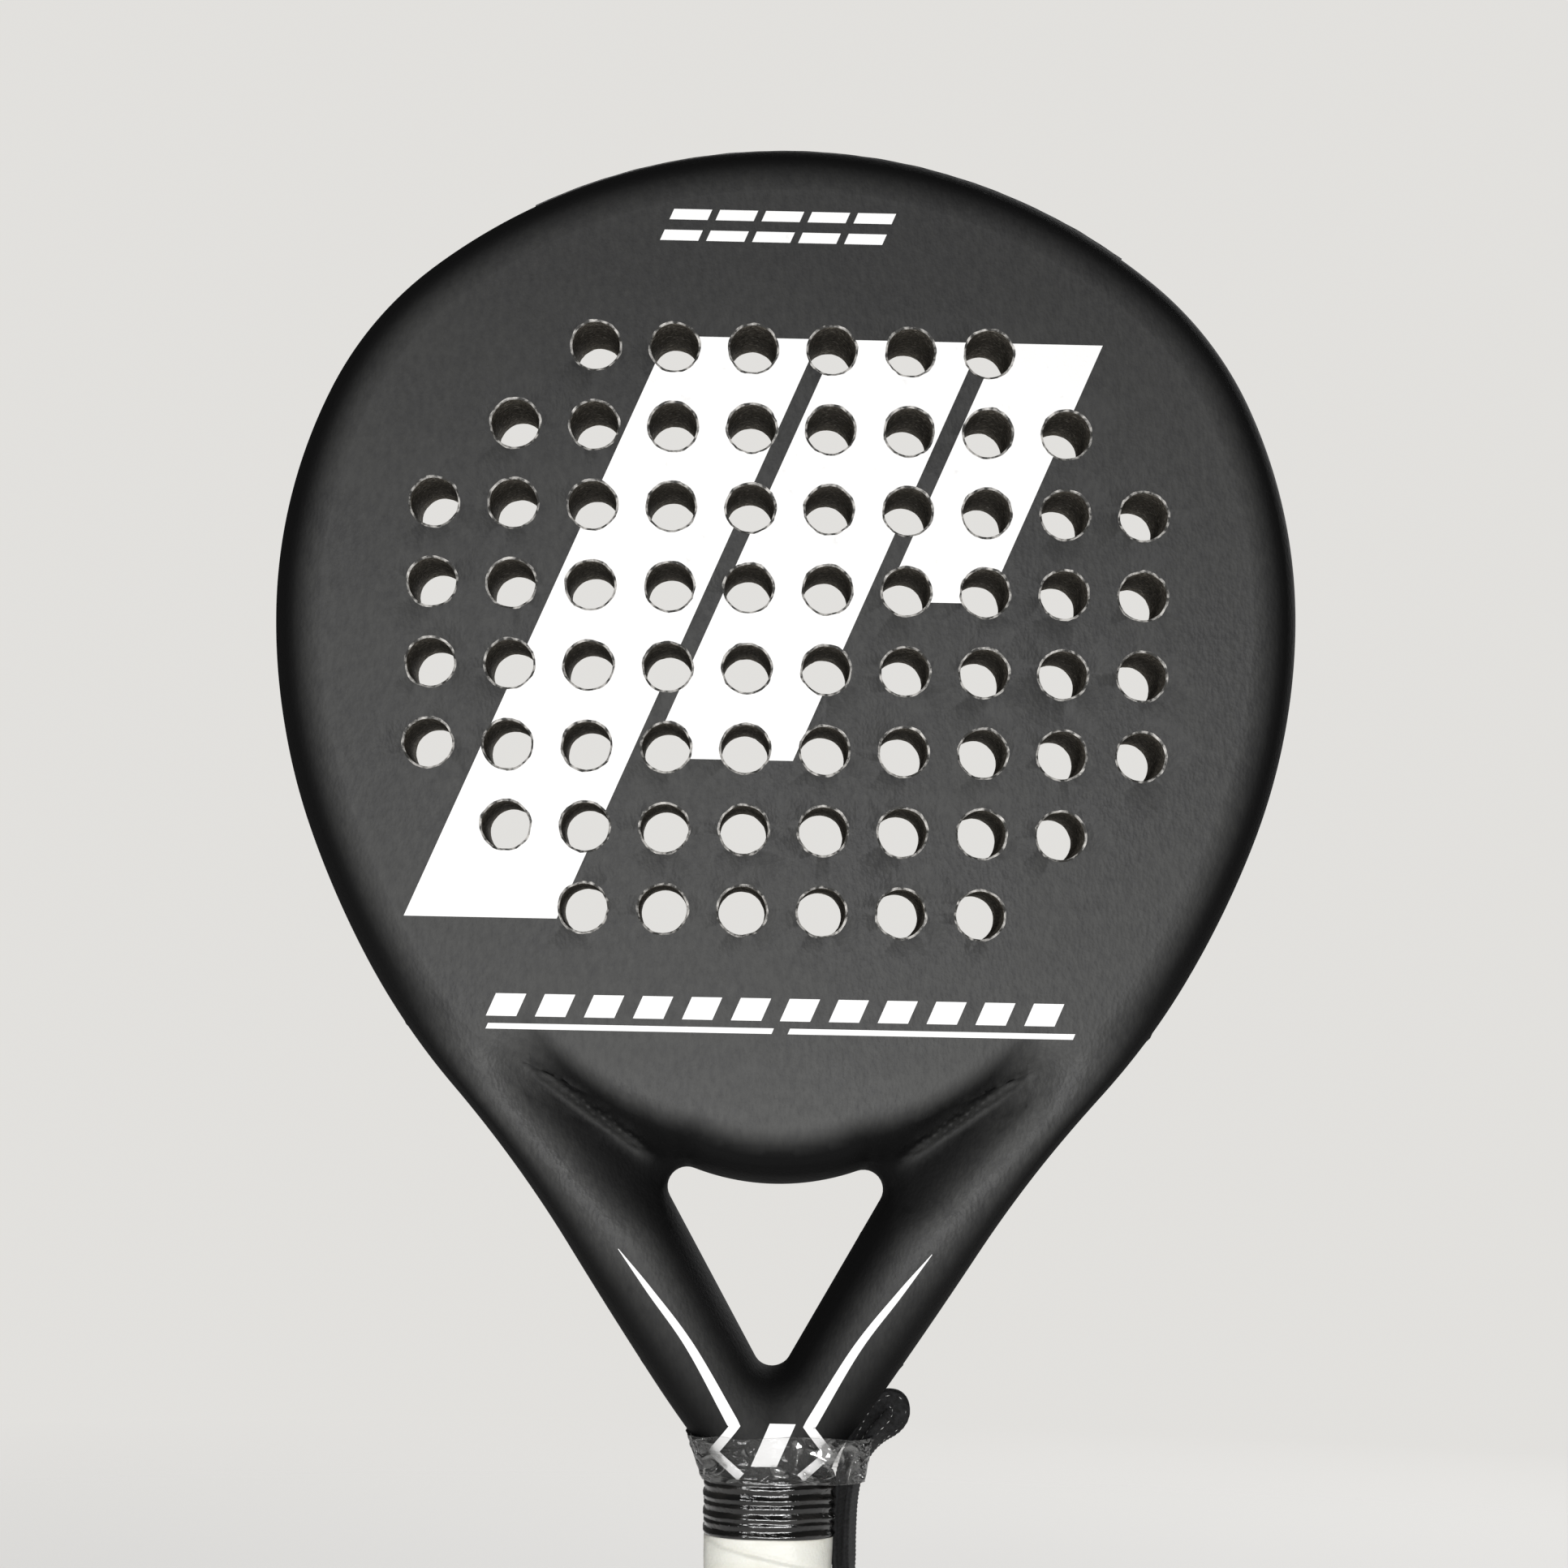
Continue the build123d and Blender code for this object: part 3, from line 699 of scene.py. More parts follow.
def sheet_piece(name, triangles, top, bottom, side, materials, chipped):
    """A flat sheet from one depth to another, with its perforations; side is -1 in front, 1 behind."""
    used = np.unique(triangles)
    local = np.searchsorted(used, triangles)
    places = points[used]
    count = len(used)
    layers = [np.insert(places, 1, depth[used], axis=1) for depth in (top, bottom)]
    vertices = np.vstack(layers).tolist()
    outers = [matched_ring(index, places) for index in range(len(holes))]
    faces = slab(local, count, side, {vertex for outer in outers for vertex in outer})
    slots = [0] * len(faces)
    for hole, outer in enumerate(outers):
        rings = [outer]
        depths = hole_depths(top[used[outer[0]]], bottom[used[outer[0]]], side, chipped)
        for row, (y, rough) in enumerate(depths):
            rings.append(range(len(vertices), len(vertices) + HOLE_SIDES))
            loop = hole_loop(holes[hole], hole + row * RING_PHASE, HOLE_RADIUS, rough)
            vertices += np.insert(loop, 1, y, axis=1).tolist()
        rings.append([vertex + count for vertex in outer])
        for row, (a, b) in enumerate(zip(rings, rings[1:])):
            for i in range(HOLE_SIDES):
                j = (i + 1) % HOLE_SIDES
                faces.append((a[i], a[j], b[j], b[i])[::-side])
            slots += [min(row + 1, 2) if chipped else 0] * HOLE_SIDES
    piece = make_object(name, vertices, faces, materials, slots=slots)
    add_painted_sheen(piece, np.tile(painted_sheen_amounts[used], 2))
    piece.data.set_sharp_from_angle(angle=SHEET_SHARP_ANGLE)
    return piece


def hole_depths(top, bottom, side, chipped):
    """(depth, roughness) of the rings down a hole's wall."""
    if chipped:
        return [(top - side * CHIP_DEPTH, CHIP_ROUGHNESS), (bottom, SKIN_ROUGHNESS)]
    return [(depth, FOAM_ROUGHNESS) for depth in np.linspace(top, bottom, FOAM_RINGS)]


def near_bar(bar, hole):
    """Whether a hole reaches a printed bar."""
    centre = np.array([hole])
    return inside(centre, bar)[0] or distance(centre, closed(bar))[0] < CUT_REACH


def decal(name, loops, side, material):
    """Flat print a paint's thickness proud of a face, cut by the perforations."""
    bars = [loop * (-side, 1) for loop in loops]
    cutters = [loop for hole, loop in zip(holes, hole_loops) if any(near_bar(bar, hole) for bar in bars)]
    flat, triangles = triangulate([closed(loop) for loop in bars + cutters], np.empty((0, 2)))
    middles = flat[triangles].mean(1)
    keep = np.any([inside(middles, bar) for bar in bars], axis=0)
    for cutter in cutters:
        keep &= ~inside(middles, cutter)
    triangles = counter_clockwise(flat, triangles[keep], LEAST_AREA)
    used = np.unique(triangles)
    depths = (side * (HALF_DEPTH + DECAL_LIFT), side * (HALF_DEPTH - DECAL_SUNK))
    layers = [np.insert(flat[used], 1, depth, axis=1) for depth in depths]
    faces = slab(np.searchsorted(used, triangles), len(used), side)
    return make_object(name, np.vstack(layers), faces, [material], smooth=False)


def slanted(x, width, low, high):
    """A bar that leans to the right, as a loop."""
    shift = LEAN * (high - low)
    return np.array([(x, low), (x + width, low), (x + width + shift, high), (x + shift, high)])


def tube_faces(rows, count, first=0):
    """Faces of a capped tube through rows of count points that start at vertex first."""
    faces = []
    for row in range(rows - 1):
        faces += band(first + row * count, first + (row + 1) * count, count)
    last = first + (rows - 1) * count
    faces.append(tuple(range(first, first + count))[::-1])
    faces.append(tuple(range(last, last + count)))
    return faces


def lofted(name, rings, materials, capped=True, extra=()):
    """A closed piece through rings of equally many points, joined end to end when it isn't capped.

    Each of the extra tubes is a list of rings and takes the second material.
    """
    count = len(rings[0])
    vertices = [point for ring in rings for point in ring]
    faces = tube_faces(len(rings), count)
    if not capped:
        faces = faces[:-2] + band((len(rings) - 1) * count, 0, count)
    slots = [0] * len(faces)
    for tube in extra:
        added = tube_faces(len(tube), len(tube[0]), len(vertices))
        vertices += [point for ring in tube for point in ring]
        faces += added
        slots += [1] * len(added)
    return make_object(name, vertices, faces, materials, slots=slots)


def rounded_loop(width, depth, radius, count):
    """Even points and outward normals round a rounded rectangle, from the middle of its right side."""
    a, b = width / 2 - radius, depth / 2 - radius
    corners = [(a, b), (-a, b), (-a, -b), (a, -b)]
    sides = [2 * b, 2 * a, 2 * b, 2 * a]
    arc = radius * pi / 2
    total = sum(sides) + 4 * arc
    places = []
    normals_out = []
    for step in range(count):
        rest = (b + total * step / count) % total
        quarter = 0
        while rest > sides[quarter] + arc:
            rest -= sides[quarter] + arc
            quarter += 1
        past = rest - sides[quarter]
        angle = quarter * pi / 2 + max(past, 0) / radius
        normal = np.array((cos(angle), sin(angle)))
        along = np.array((-normal[1], normal[0]))
        places.append(corners[quarter] + radius * normal + min(past, 0) * along)
        normals_out.append(normal)
    return np.array(places), np.array(normals_out)


# ---------------------------------------------------------------- materials

def new_material(name, colour, roughness, **settings):
    """A Principled material with plain values; keyword names are its sockets with _ for spaces."""
    material = bpy.data.materials.new(name)
    material.use_nodes = True
    shader = material.node_tree.nodes["Principled BSDF"]
    shader.inputs["Base Color"].default_value = (*colour, 1)
    shader.inputs["Roughness"].default_value = roughness
    for socket, value in settings.items():
        shader.inputs[socket.replace("_", " ")].default_value = value
    return material


def add_node(material, kind, links=(), **settings):
    """A node with its settings, and its inputs linked or set by name."""
    node = material.node_tree.nodes.new(kind)
    for name, value in settings.items():
        setattr(node, name, value)
    for name, value in dict(links).items():
        if isinstance(value, bpy.types.NodeSocket):
            material.node_tree.links.new(value, node.inputs[name])
        else:
            node.inputs[name].default_value = value
    return node


def place(material, stretch=(1, 1, 1)):
    """Where a point is on the object, in metres, stretched along each axis."""
    where = add_node(material, "ShaderNodeTexCoord").outputs["Object"]
    return add_node(material, "ShaderNodeMapping", {"Vector": where, "Scale": stretch}).outputs["Vector"]


def cloud(material, scale, detail=3.0, stretch=(1, 1, 1), distortion=0.0):
    """Soft noise from 0 to 1, with scale features to the metre."""
    links = {"Vector": place(material, stretch), "Scale": scale, "Detail": detail, "Distortion": distortion}
    return add_node(material, "ShaderNodeTexNoise", links).outputs["Fac"]


def cells(material, scale, stretch=(1, 1, 1)):
    """Distance to scattered cell centres, as in grain or pores."""
    links = {"Vector": place(material, stretch), "Scale": scale}
    return add_node(material, "ShaderNodeTexVoronoi", links).outputs["Distance"]


def remap(material, value, from_low, from_high, to_low=0.0, to_high=1.0):
    """A value moved from one range to another and kept inside it."""
    links = {0: value, 1: from_low, 2: from_high, 3: to_low, 4: to_high}
    return add_node(material, "ShaderNodeMapRange", links).outputs["Result"]


def calculate(material, operation, *values):
    """The result of a math node on plain or linked values."""
    return add_node(material, "ShaderNodeMath", enumerate(values), operation=operation).outputs[0]


def mix_colours(material, share, first, second):
    """A colour between two, each a plain colour or a socket."""
    node = add_node(material, "ShaderNodeMix", data_type="RGBA")
    tree = material.node_tree
    tree.links.new(share, node.inputs["Factor"])
    for socket, colour in ((node.inputs[6], first), (node.inputs[7], second)):
        if isinstance(colour, bpy.types.NodeSocket):
            tree.links.new(colour, socket)
        else:
            socket.default_value = (*colour, 1)
    return node.outputs[2]


def feed(material, socket, value):
    """Drive one of the shader's sockets."""
    shader = material.node_tree.nodes["Principled BSDF"]
    material.node_tree.links.new(value, shader.inputs[socket])


def two_tone(material, share, first, second, roughness=None):
    """Mix the base colour from two by a share from 0 to 1, and the roughness when there is a pair."""
    feed(material, "Base Color", mix_colours(material, share, first, second))
    if roughness:
        feed(material, "Roughness", remap(material, share, 0.0, 1.0, *roughness))


def emboss(material, *layers):
    """Surface relief from (height, depth in metres) layers, one on another."""
    below = None
    for height, depth in layers:
        links = {"Height": height, "Distance": depth, "Strength": 1.0}
        if below is not None:
            links["Normal"] = below
        below = add_node(material, "ShaderNodeBump", links).outputs["Normal"]
    feed(material, "Normal", below)


def facing(material, low, high):
    """1 where the surface looks straight to the front or the rear, 0 where it is turned away."""
    normal = add_node(material, "ShaderNodeNewGeometry").outputs["Normal"]
    along = add_node(material, "ShaderNodeSeparateXYZ", {"Vector": normal}).outputs["Y"]
    return remap(material, calculate(material, "ABSOLUTE", along), low, high)


def lacquer(name, dark, light):
    """Satin black lacquer with a fine leather grain, with a painted charcoal sheen where it faces the front
    or the rear and painted shade (near black) where it turns away.
    """
    material = new_material(name, (0.01, 0.01, 0.01), 0.45, Specular_IOR_Level=0.16)
    patches = cloud(material, 26, 6.0, distortion=0.5)
    mottle = calculate(material, "ADD", patches, cloud(material, 620, 5.0, (1, 1, 0.5)))
    # The painted sheen's charcoal tone, mottled at random.
    sheen_charcoal = mix_colours(material, remap(material, mottle, 0.75, 1.25), dark, light)
    sheen_share = add_node(material, "ShaderNodeAttribute", attribute_name="painted_sheen").outputs["Fac"]
    # Painted sheen by the stored amount and by how squarely the surface faces the front or the rear;
    # painted shade where it turns away.
    share = calculate(material, "MULTIPLY", sheen_share, facing(material, 0.55, 0.92))
    two_tone(material, share, (0.0022, 0.0022, 0.0023), sheen_charcoal)
    polish = remap(material, patches, 0.3, 0.7, -0.05, 0.05)
    matt = remap(material, share, 0.0, 1.0, 0.8, 0.43)
    feed(material, "Roughness", calculate(material, "ADD", matt, polish))
    emboss(material, (cells(material, 1100, (1, 1, 0.6)), 0.00009), (cloud(material, 1800), 0.00007))
    return material


def chipped_fibre():
    """Bare, chipped fibre round the drilled holes."""
    material = new_material("chipped_fibre", (0.2, 0.2, 0.19), 0.6)
    flakes = remap(material, cloud(material, 480, 7.0), 0.43, 0.64)
    two_tone(material, flakes, (0.04, 0.039, 0.036), (0.62, 0.6, 0.57))
    emboss(material, (cloud(material, 1400, 5.0), 0.0002))
    return material


def drilled_foam():
    """Dark porous foam of the core, scored by the drill."""
    material = new_material("drilled_foam", (0.03, 0.027, 0.022), 0.9, Specular_IOR_Level=0.2)
    pores = remap(material, cells(material, 1100), 0.1, 0.6)
    base = mix_colours(material, pores, (0.03, 0.026, 0.021), (0.15, 0.135, 0.11))
    two_tone(material, remap(material, cloud(material, 900, 6.0), 0.55, 0.72), base, (0.42, 0.39, 0.34))
    emboss(material, (cloud(material, 1500, 6.0, (1, 0.4, 1)), 0.0005))
    return material


def white_ink():
    """Slightly uneven white screen print."""
    material = new_material("white_ink", (0.93, 0.92, 0.915), 0.45)
    worn = remap(material, cloud(material, 300, 8.0), 0.66, 0.8, 0.0, 0.5)
    two_tone(material, worn, (0.88, 0.875, 0.87), (0.62, 0.61, 0.6))
    feed(material, "Roughness", remap(material, cloud(material, 120), 0.3, 0.7, 0.4, 0.55))
    emboss(material, (cloud(material, 1600), 0.00003))
    return material


def guard_tape():
    """Black protective tape with fine scuffs along the rim."""
    material = new_material("guard_tape", (0.008, 0.008, 0.008), 0.4)
    scuffs = remap(material, cloud(material, 160, 6.0, (1, 6, 1)), 0.6, 0.75)
    two_tone(material, scuffs, (0.006, 0.006, 0.006), (0.05, 0.05, 0.05), (0.35, 0.7))
    emboss(material, (cloud(material, 900, 4.0), 0.00008))
    return material


def cream_leather():
    """Cream synthetic leather with soft creases and handling marks."""
    material = new_material("cream_leather", (0.86, 0.84, 0.74), 0.55, Subsurface_Weight=0.05)
    marks = remap(material, cloud(material, 45, 6.0, (1, 1, 2.5)), 0.45, 0.75)
    two_tone(material, marks, (0.8, 0.78, 0.71), (0.66, 0.625, 0.52), (0.45, 0.65))
    emboss(material, (cloud(material, 90, 4.0, (1, 1, 3)), 0.0004), (cells(material, 1400), 0.00006))
    return material


def glossy_rubber():
    """Shiny black shrunk sleeve with smears."""
    settings = {"Coat_Weight": 0.5, "Coat_Roughness": 0.04}
    material = new_material("glossy_rubber", (0.006, 0.006, 0.006), 0.12, **settings)
    smears = remap(material, cloud(material, 110, 5.0, (1, 1, 3)), 0.45, 0.7)
    two_tone(material, smears, (0.003, 0.003, 0.003), (0.012, 0.011, 0.01), (0.08, 0.3))
    emboss(material, (cloud(material, 230, 4.0, (1, 1, 1.6), 0.8), 0.0006))
    return material


def clear_wrap():
    """Thin clear film with creases, a painted grey sheen in front and painted shade where it turns away,
    more opaque along the creases and at the sides.
    """
    material = new_material("clear_wrap", (0.2, 0.2, 0.2), 0.07, IOR=1.5, Specular_IOR_Level=1.0)
    creases = cloud(material, 150, 3.0, (1, 1, 1.4), 1.2)
    # Painted sheen: pale grey where the film faces the front or the rear, painted shade (near black) where
    # it turns away.
    front = facing(material, 0.5, 0.85)
    two_tone(material, front, (0.006, 0.006, 0.006), (0.26, 0.26, 0.255))
    # Opacity along the creases, where the lamps' glints and the painted grey sheen show.
    shine = remap(material, creases, 0.54, 0.66, 0.06, 0.5)
    # Painted shade: opaque near-black film where it turns away.
    painted_side_shade = remap(material, front, 0.0, 1.0, 0.85, 0.0)
    feed(material, "Alpha", calculate(material, "ADD", shine, painted_side_shade))
    emboss(material, (remap(material, creases, 0.42, 0.62), 0.0012))
    return material


def webbing():
    """Black ribbed webbing."""
    settings = {"Specular_IOR_Level": 0.25, "Sheen_Weight": 0.03}
    material = new_material("webbing", (0.012, 0.012, 0.013), 0.8, **settings)
    fuzz = remap(material, cloud(material, 900, 4.0), 0.35, 0.7)
    two_tone(material, fuzz, (0.003, 0.003, 0.003), (0.014, 0.014, 0.015))
    emboss(material, (cloud(material, 2400), 0.00015))
    return material


def waxed_thread():
    """Shiny waxed sewing thread."""
    material = new_material("waxed_thread", (0.3, 0.3, 0.3), 0.3)
    wear = remap(material, cloud(material, 700), 0.4, 0.6)
    two_tone(material, wear, (0.03, 0.03, 0.03), (0.42, 0.42, 0.41))
    emboss(material, (cloud(material, 3000, 2.0), 0.00008))
    return material


def moulded_plastic(name, dark, light, roughness):
    """Grey moulded plastic with an eroded mould texture."""
    material = new_material(name, (light,) * 3, roughness)
    two_tone(material, remap(material, cloud(material, 80, 4.0), 0.3, 0.7), (dark,) * 3, (light,) * 3)
    spread = (roughness - 0.06, roughness + 0.1)
    feed(material, "Roughness", remap(material, cloud(material, 200), 0.3, 0.7, *spread))
    emboss(material, (cells(material, 1900), 0.00006))
    return material


def zinc_steel():
    """Zinc-plated steel with turned marks."""
    material = new_material("zinc_steel", (0.6, 0.6, 0.61), 0.32, Metallic=1.0)
    tarnish = remap(material, cloud(material, 400, 5.0), 0.4, 0.7)
    two_tone(material, tarnish, (0.66, 0.66, 0.68), (0.42, 0.4, 0.36), (0.25, 0.5))
    emboss(material, (cloud(material, 1500, 2.0, (1, 1, 5)), 0.00005))
    return material


def woven_fibre():
    """Unpainted woven carbon fibre of the shaft."""
    material = new_material("woven_fibre", (0.03, 0.03, 0.03), 0.35, Coat_Weight=0.4)
    tows = []
    for stretch in ((1, 1, 1), (1, 1, -1)):
        links = {"Vector": place(material, stretch), "Scale": 240.0}
        tow = add_node(material, "ShaderNodeTexWave", links, bands_direction="DIAGONAL")
        tows.append(tow.outputs["Fac"])
    weave = calculate(material, "MULTIPLY", *tows)
    two_tone(material, weave, (0.012, 0.012, 0.013), (0.07, 0.07, 0.075))
    emboss(material, (weave, 0.00012))
    return material


def pale_foam():
    """Rigid foam of the handle's two halves."""
    material = new_material("pale_foam", (0.72, 0.66, 0.5), 0.85)
    pores = remap(material, cells(material, 1300), 0.05, 0.5)
    two_tone(material, pores, (0.5, 0.44, 0.3), (0.78, 0.72, 0.56))
    emboss(material, (pores, 0.0002))
    return material


# ---------------------------------------------------------------- the frame, the faces and the core

def frame_pieces(paint):
    """The hoop, the bridge, the two arms and the yoke, cut from one surface."""
    middles = points[triangles].mean(1)
    x, z = middles.T
    arc_z = np.interp(x, *bridge_line.T)
    above = z > arc_z
    flat = inside(middles, face_loop())
    parts = {
        "frame_hoop": above & ~flat & (np.abs(x) > BRIDGE_END),
        "throat_bridge": above & ~flat & (np.abs(x) <= BRIDGE_END),
        "throat_arm_right": ~above & (x > 0) & (z > YOKE_TOP),
        "throat_arm_left": ~above & (x < 0) & (z > YOKE_TOP),
        "throat_yoke": ~above & (z <= YOKE_TOP),
    }
    for node, chosen in parts.items():
        stand_for(solid_piece(node + "_shell", triangles[chosen], [paint]), "frame_paint", node)
    return triangles[flat]


def face_pieces(flat, paint, chips, foam):
    """The two perforated laminates and the drilled core between them."""
    skin = heights - SKIN
    materials = [paint, chips, foam]
    for side, face in ((-1, "front"), (1, "rear")):
        laminate = sheet_piece(f"{face}_laminate", flat, side * heights, side * skin, side, materials, True)
        stand_for(laminate, "face_paint", f"{face}_face")
    stand_for(sheet_piece("drilled_core", flat, -skin, skin, -1, [foam], False), "core_foam", "foam_core")


# Printed marks: plain slanted bars, a paint's thickness proud of the face.
LEAN = 0.425
DECAL_LIFT = 0.1
DECAL_SUNK = 0.05
CUT_REACH = 8.0
LEAST_AREA = 5e-7
EMBLEM_TOP = 404.0
EMBLEM_BARS = [(-94.0, 38.0, 257.0), (-34.0, 36.0, 297.5), (24.0, 26.0, 338.0)]
TIP_MARK_Z = (428.4, 436.4)
TIP_MARK_BARS = [-34.0, -22.4, -10.8, 0.8, 12.4]
TIP_MARK_BAR_WIDTH = 9.6
LOW_MARK_Z = (232.6, 238.2)
LOW_MARK_LINE_Z = (229.4, 230.8)
LOW_MARK_HALF = 73.0
LOW_MARK_BLOCKS = 12
LOW_MARK_SHARE = 0.62
LOW_MARK_GAP = 2.0


def emblem_loops():
    """Three slanted bars of falling length."""
    return [slanted(x, width, low, EMBLEM_TOP) for x, width, low in EMBLEM_BARS]


def tip_mark_loops():
    """A row of short slanted blocks with a slit through each."""
    low, high = TIP_MARK_Z
    third = (high - low) / 3
    loops = []
    for x in TIP_MARK_BARS:
        loops.append(slanted(x, TIP_MARK_BAR_WIDTH, low, low + third))
        loops.append(slanted(x + LEAN * 2 * third, TIP_MARK_BAR_WIDTH, high - third, high))
    return loops


def low_mark_loops():
    """A row of slanted blocks over a line with a gap at its middle."""
    pitch = 2 * LOW_MARK_HALF / LOW_MARK_BLOCKS
    loops = []
    for index in range(LOW_MARK_BLOCKS):
        loops.append(slanted(pitch * index - LOW_MARK_HALF, pitch * LOW_MARK_SHARE, *LOW_MARK_Z))
    for x in (-LOW_MARK_HALF, LOW_MARK_GAP):
        loops.append(slanted(x, LOW_MARK_HALF - LOW_MARK_GAP, *LOW_MARK_LINE_Z))
    return loops


def printed_marks(ink):
    """The marks of both faces."""
    marks = {"emblem": emblem_loops(), "tip_mark": tip_mark_loops(), "low_mark": low_mark_loops()}
    for side, face in ((-1, "front"), (1, "rear")):
        for mark, loops in marks.items():
            stand_for(decal(f"{face}_{mark}_print", loops, side, ink), "white_print", f"{face}_{mark}")


def draped(name, rows, material, lift):
    """A thin print on the front surface, through rows of (x, z) points across it."""
    rings = []
    for row in rows:
        top = np.insert(row, 1, -half_thickness(row) - lift, axis=1)
        rings.append(np.vstack((top, top[::-1] + (0, DRAPED_THICKNESS, 0))))
    piece = lofted(name, rings, [material])
    piece.data.set_sharp_from_angle(angle=SHARP_ANGLE)
    return piece


# Stripes down the arms, as centre line points and widths, the knee under each, and the badge.
STRIPE = [(38.9, 175.6), (30.8, 165.3), (20.5, 151.7), (9.2, 132.4)]
STRIPE_WIDTHS = [0.15, 1.5, 2.1, 2.9]
STRIPE_ROWS = 60
STRIPE_LIFT = 0.12
KNEE = [(9.2, 132.4), (14.4, 125.7), (7.4, 119.9)]
KNEE_WIDTH = 2.3
KNEE_ROWS = 12
ACROSS = np.linspace(-0.5, 0.5, 5)
BADGE_WIDTH = 6.4
BADGE_ROWS = 12
BADGE_COLUMNS = 9
BADGE_LIFT = 0.14
DRAPED_THICKNESS = 0.25


def smooth_line(knots, count):
    """A curve through the knots, as a Catmull-Rom spline; each knot may carry more values."""
    knots = np.array(knots, float)
    padded = np.vstack((2 * knots[0] - knots[1], knots, 2 * knots[-1] - knots[-2]))
    line = []
    for place_on in np.linspace(0, len(knots) - 1 - 1e-9, count):
        first = int(place_on)
        t = place_on - first
        a, b, c, d = padded[first:first + 4]
        square = 2 * a - 5 * b + 4 * c - d
        cube = 3 * b - a - 3 * c + d
        line.append(0.5 * (2 * b + (c - a) * t + square * t ** 2 + cube * t ** 3))
    return np.array(line)


def stripe_rows(side):
    """Cross rows of one arm's stripe and its knee."""
    blade = smooth_line([(x, z, w) for (x, z), w in zip(STRIPE, STRIPE_WIDTHS)], STRIPE_ROWS)
    knee = np.vstack([np.linspace(a, b, KNEE_ROWS)[1:] for a, b in zip(KNEE, KNEE[1:])])
    centre = np.vstack((blade[:, :2], knee))
    width = np.concatenate((blade[:, 2], np.full(len(knee), KNEE_WIDTH)))
    across = -inward_normals(centre)
    rows = [c + ACROSS[:, None] * w * n for c, w, n in zip(centre, width, across)]
    if side < 0:
        return [row[::-1] * (-1, 1) for row in rows]
    return rows


def throat_print(ink):
    """The two stripes and the badge between them."""
    for side, node in ((1, "pinstripe_right"), (-1, "pinstripe_left")):
        stand_for(draped(node + "_print", stripe_rows(side), ink, STRIPE_LIFT), "white_print", node)
    (left, _, bottom), (_, _, top) = node_box("throat_badge")
    rows = []
    for z in np.linspace(top, bottom, BADGE_ROWS):
        start = left + LEAN * (z - bottom)
        rows.append(np.array([(x, z) for x in np.linspace(start, start + BADGE_WIDTH, BADGE_COLUMNS)]))
    stand_for(draped("throat_badge_print", rows, ink, BADGE_LIFT), "white_print", "throat_badge")


# Protective tape round the tip: its ends, its section and how unevenly it lies.
GUARD_LEFT = -67.0
GUARD_RIGHT = 85.0
GUARD_HALF_WIDTH = 8.0
GUARD_LIFT = 0.35
GUARD_SUNK = 0.15
GUARD_WAVER = 0.12
GUARD_WAVE = 0.35
GUARD_MARGIN = 12.0
GUARD_POINTS = 11


def rim_inset(y):
    """How far in from the outline the rim's surface is at a depth y from the middle."""
    share = (1 - np.sqrt(1 - (y / HALF_DEPTH) ** 2)) / 2
    return CREST_INSET * share / (1 - share)


def edge_tape(material):
    """The tape on the rim from one side of the tip to the other."""
    x, z = outline.T
    chosen = (z > GUARD_LOW - GUARD_MARGIN) & (x > GUARD_LEFT) & (x < GUARD_RIGHT)
    inward = inward_normals(outline)[chosen]
    depths = np.linspace(-GUARD_HALF_WIDTH, GUARD_HALF_WIDTH, GUARD_POINTS)
    rings = []
    for index, (place_on, normal) in enumerate(zip(outline[chosen], inward)):
        waver = GUARD_WAVER * noise.noise(Vector((index * GUARD_WAVE, 3.0, 1.0)))
        ring = []
        for lift, row in ((GUARD_LIFT + waver, depths), (-GUARD_SUNK, depths[::-1])):
            ring.append(np.insert(place_on + normal * (rim_inset(row) - lift)[:, None], 1, row, axis=1))
        rings.append(np.vstack(ring))
    piece = lofted("edge_tape", rings, [material])
    piece.data.set_sharp_from_angle(angle=SHARP_ANGLE)
    stand_for(piece, "guard_tape", "edge_guard")


# ---------------------------------------------------------------- the handle

# Sections as (width, depth, corner radius), and how finely the sleeves are divided.
GRIP_SECTION = (31.6, 36.0, 11.5)
PALLET_SECTION = (28.6, 32.8, 10.0)
COLLAR_SECTION = (32.2, 36.6, 12.0)
SLEEVE_POINTS = 144
GRIP_ROWS = 211
COLLAR_ROWS = 64

# The wound tape, with the crease beside its edge, and the collar's ridges as (height, depth).
TAPE_PITCH = 25.0
TAPE_START = 0.58
TAPE_OVERLAP = 0.55
TAPE_EDGE = 0.7
TAPE_CREASE_DEPTH = 0.5
TAPE_CREASE_AT = 0.4
TAPE_CREASE_WIDTH = 0.5
TAPE_SWELL = 0.12
COLLAR_RIDGES = [(0.8, 0.5), (3.3, 0.35), (5.0, 0.55), (7.6, 0.4), (9.6, 0.6), (12.3, 0.45), (13.8, 0.3)]
COLLAR_RIDGE_WIDTH = 0.75
COLLAR_DRIFT = 0.9
COLLAR_WRINKLE = 0.14


def grip_offset(share, z):
    """The wound tape: each turn starts proud of the last one and settles along its width."""
    turns = (GRIP_TOP - z) / TAPE_PITCH - share + TAPE_START
    along = turns % 1 * TAPE_PITCH
    step = TAPE_OVERLAP * (1 - along / TAPE_PITCH) * min(1, along / TAPE_EDGE)
    crease = TAPE_CREASE_DEPTH * np.exp(-((along - TAPE_CREASE_AT) / TAPE_CREASE_WIDTH) ** 2)
    return step - crease + TAPE_SWELL * noise_round(2 * pi * share, 4, z / 6)


def collar_offset(share, z):
    """Uneven ridges of the shrunk collar."""
    angle = 2 * pi * share
    height = z - COLLAR_LOW + COLLAR_DRIFT * noise_round(angle, 1.5, 7)
    ridges = (depth * np.exp(-((height - at) / COLLAR_RIDGE_WIDTH) ** 2) for at, depth in COLLAR_RIDGES)
    return max(ridges) + COLLAR_WRINKLE * noise_round(angle, 5, z / 1.6)


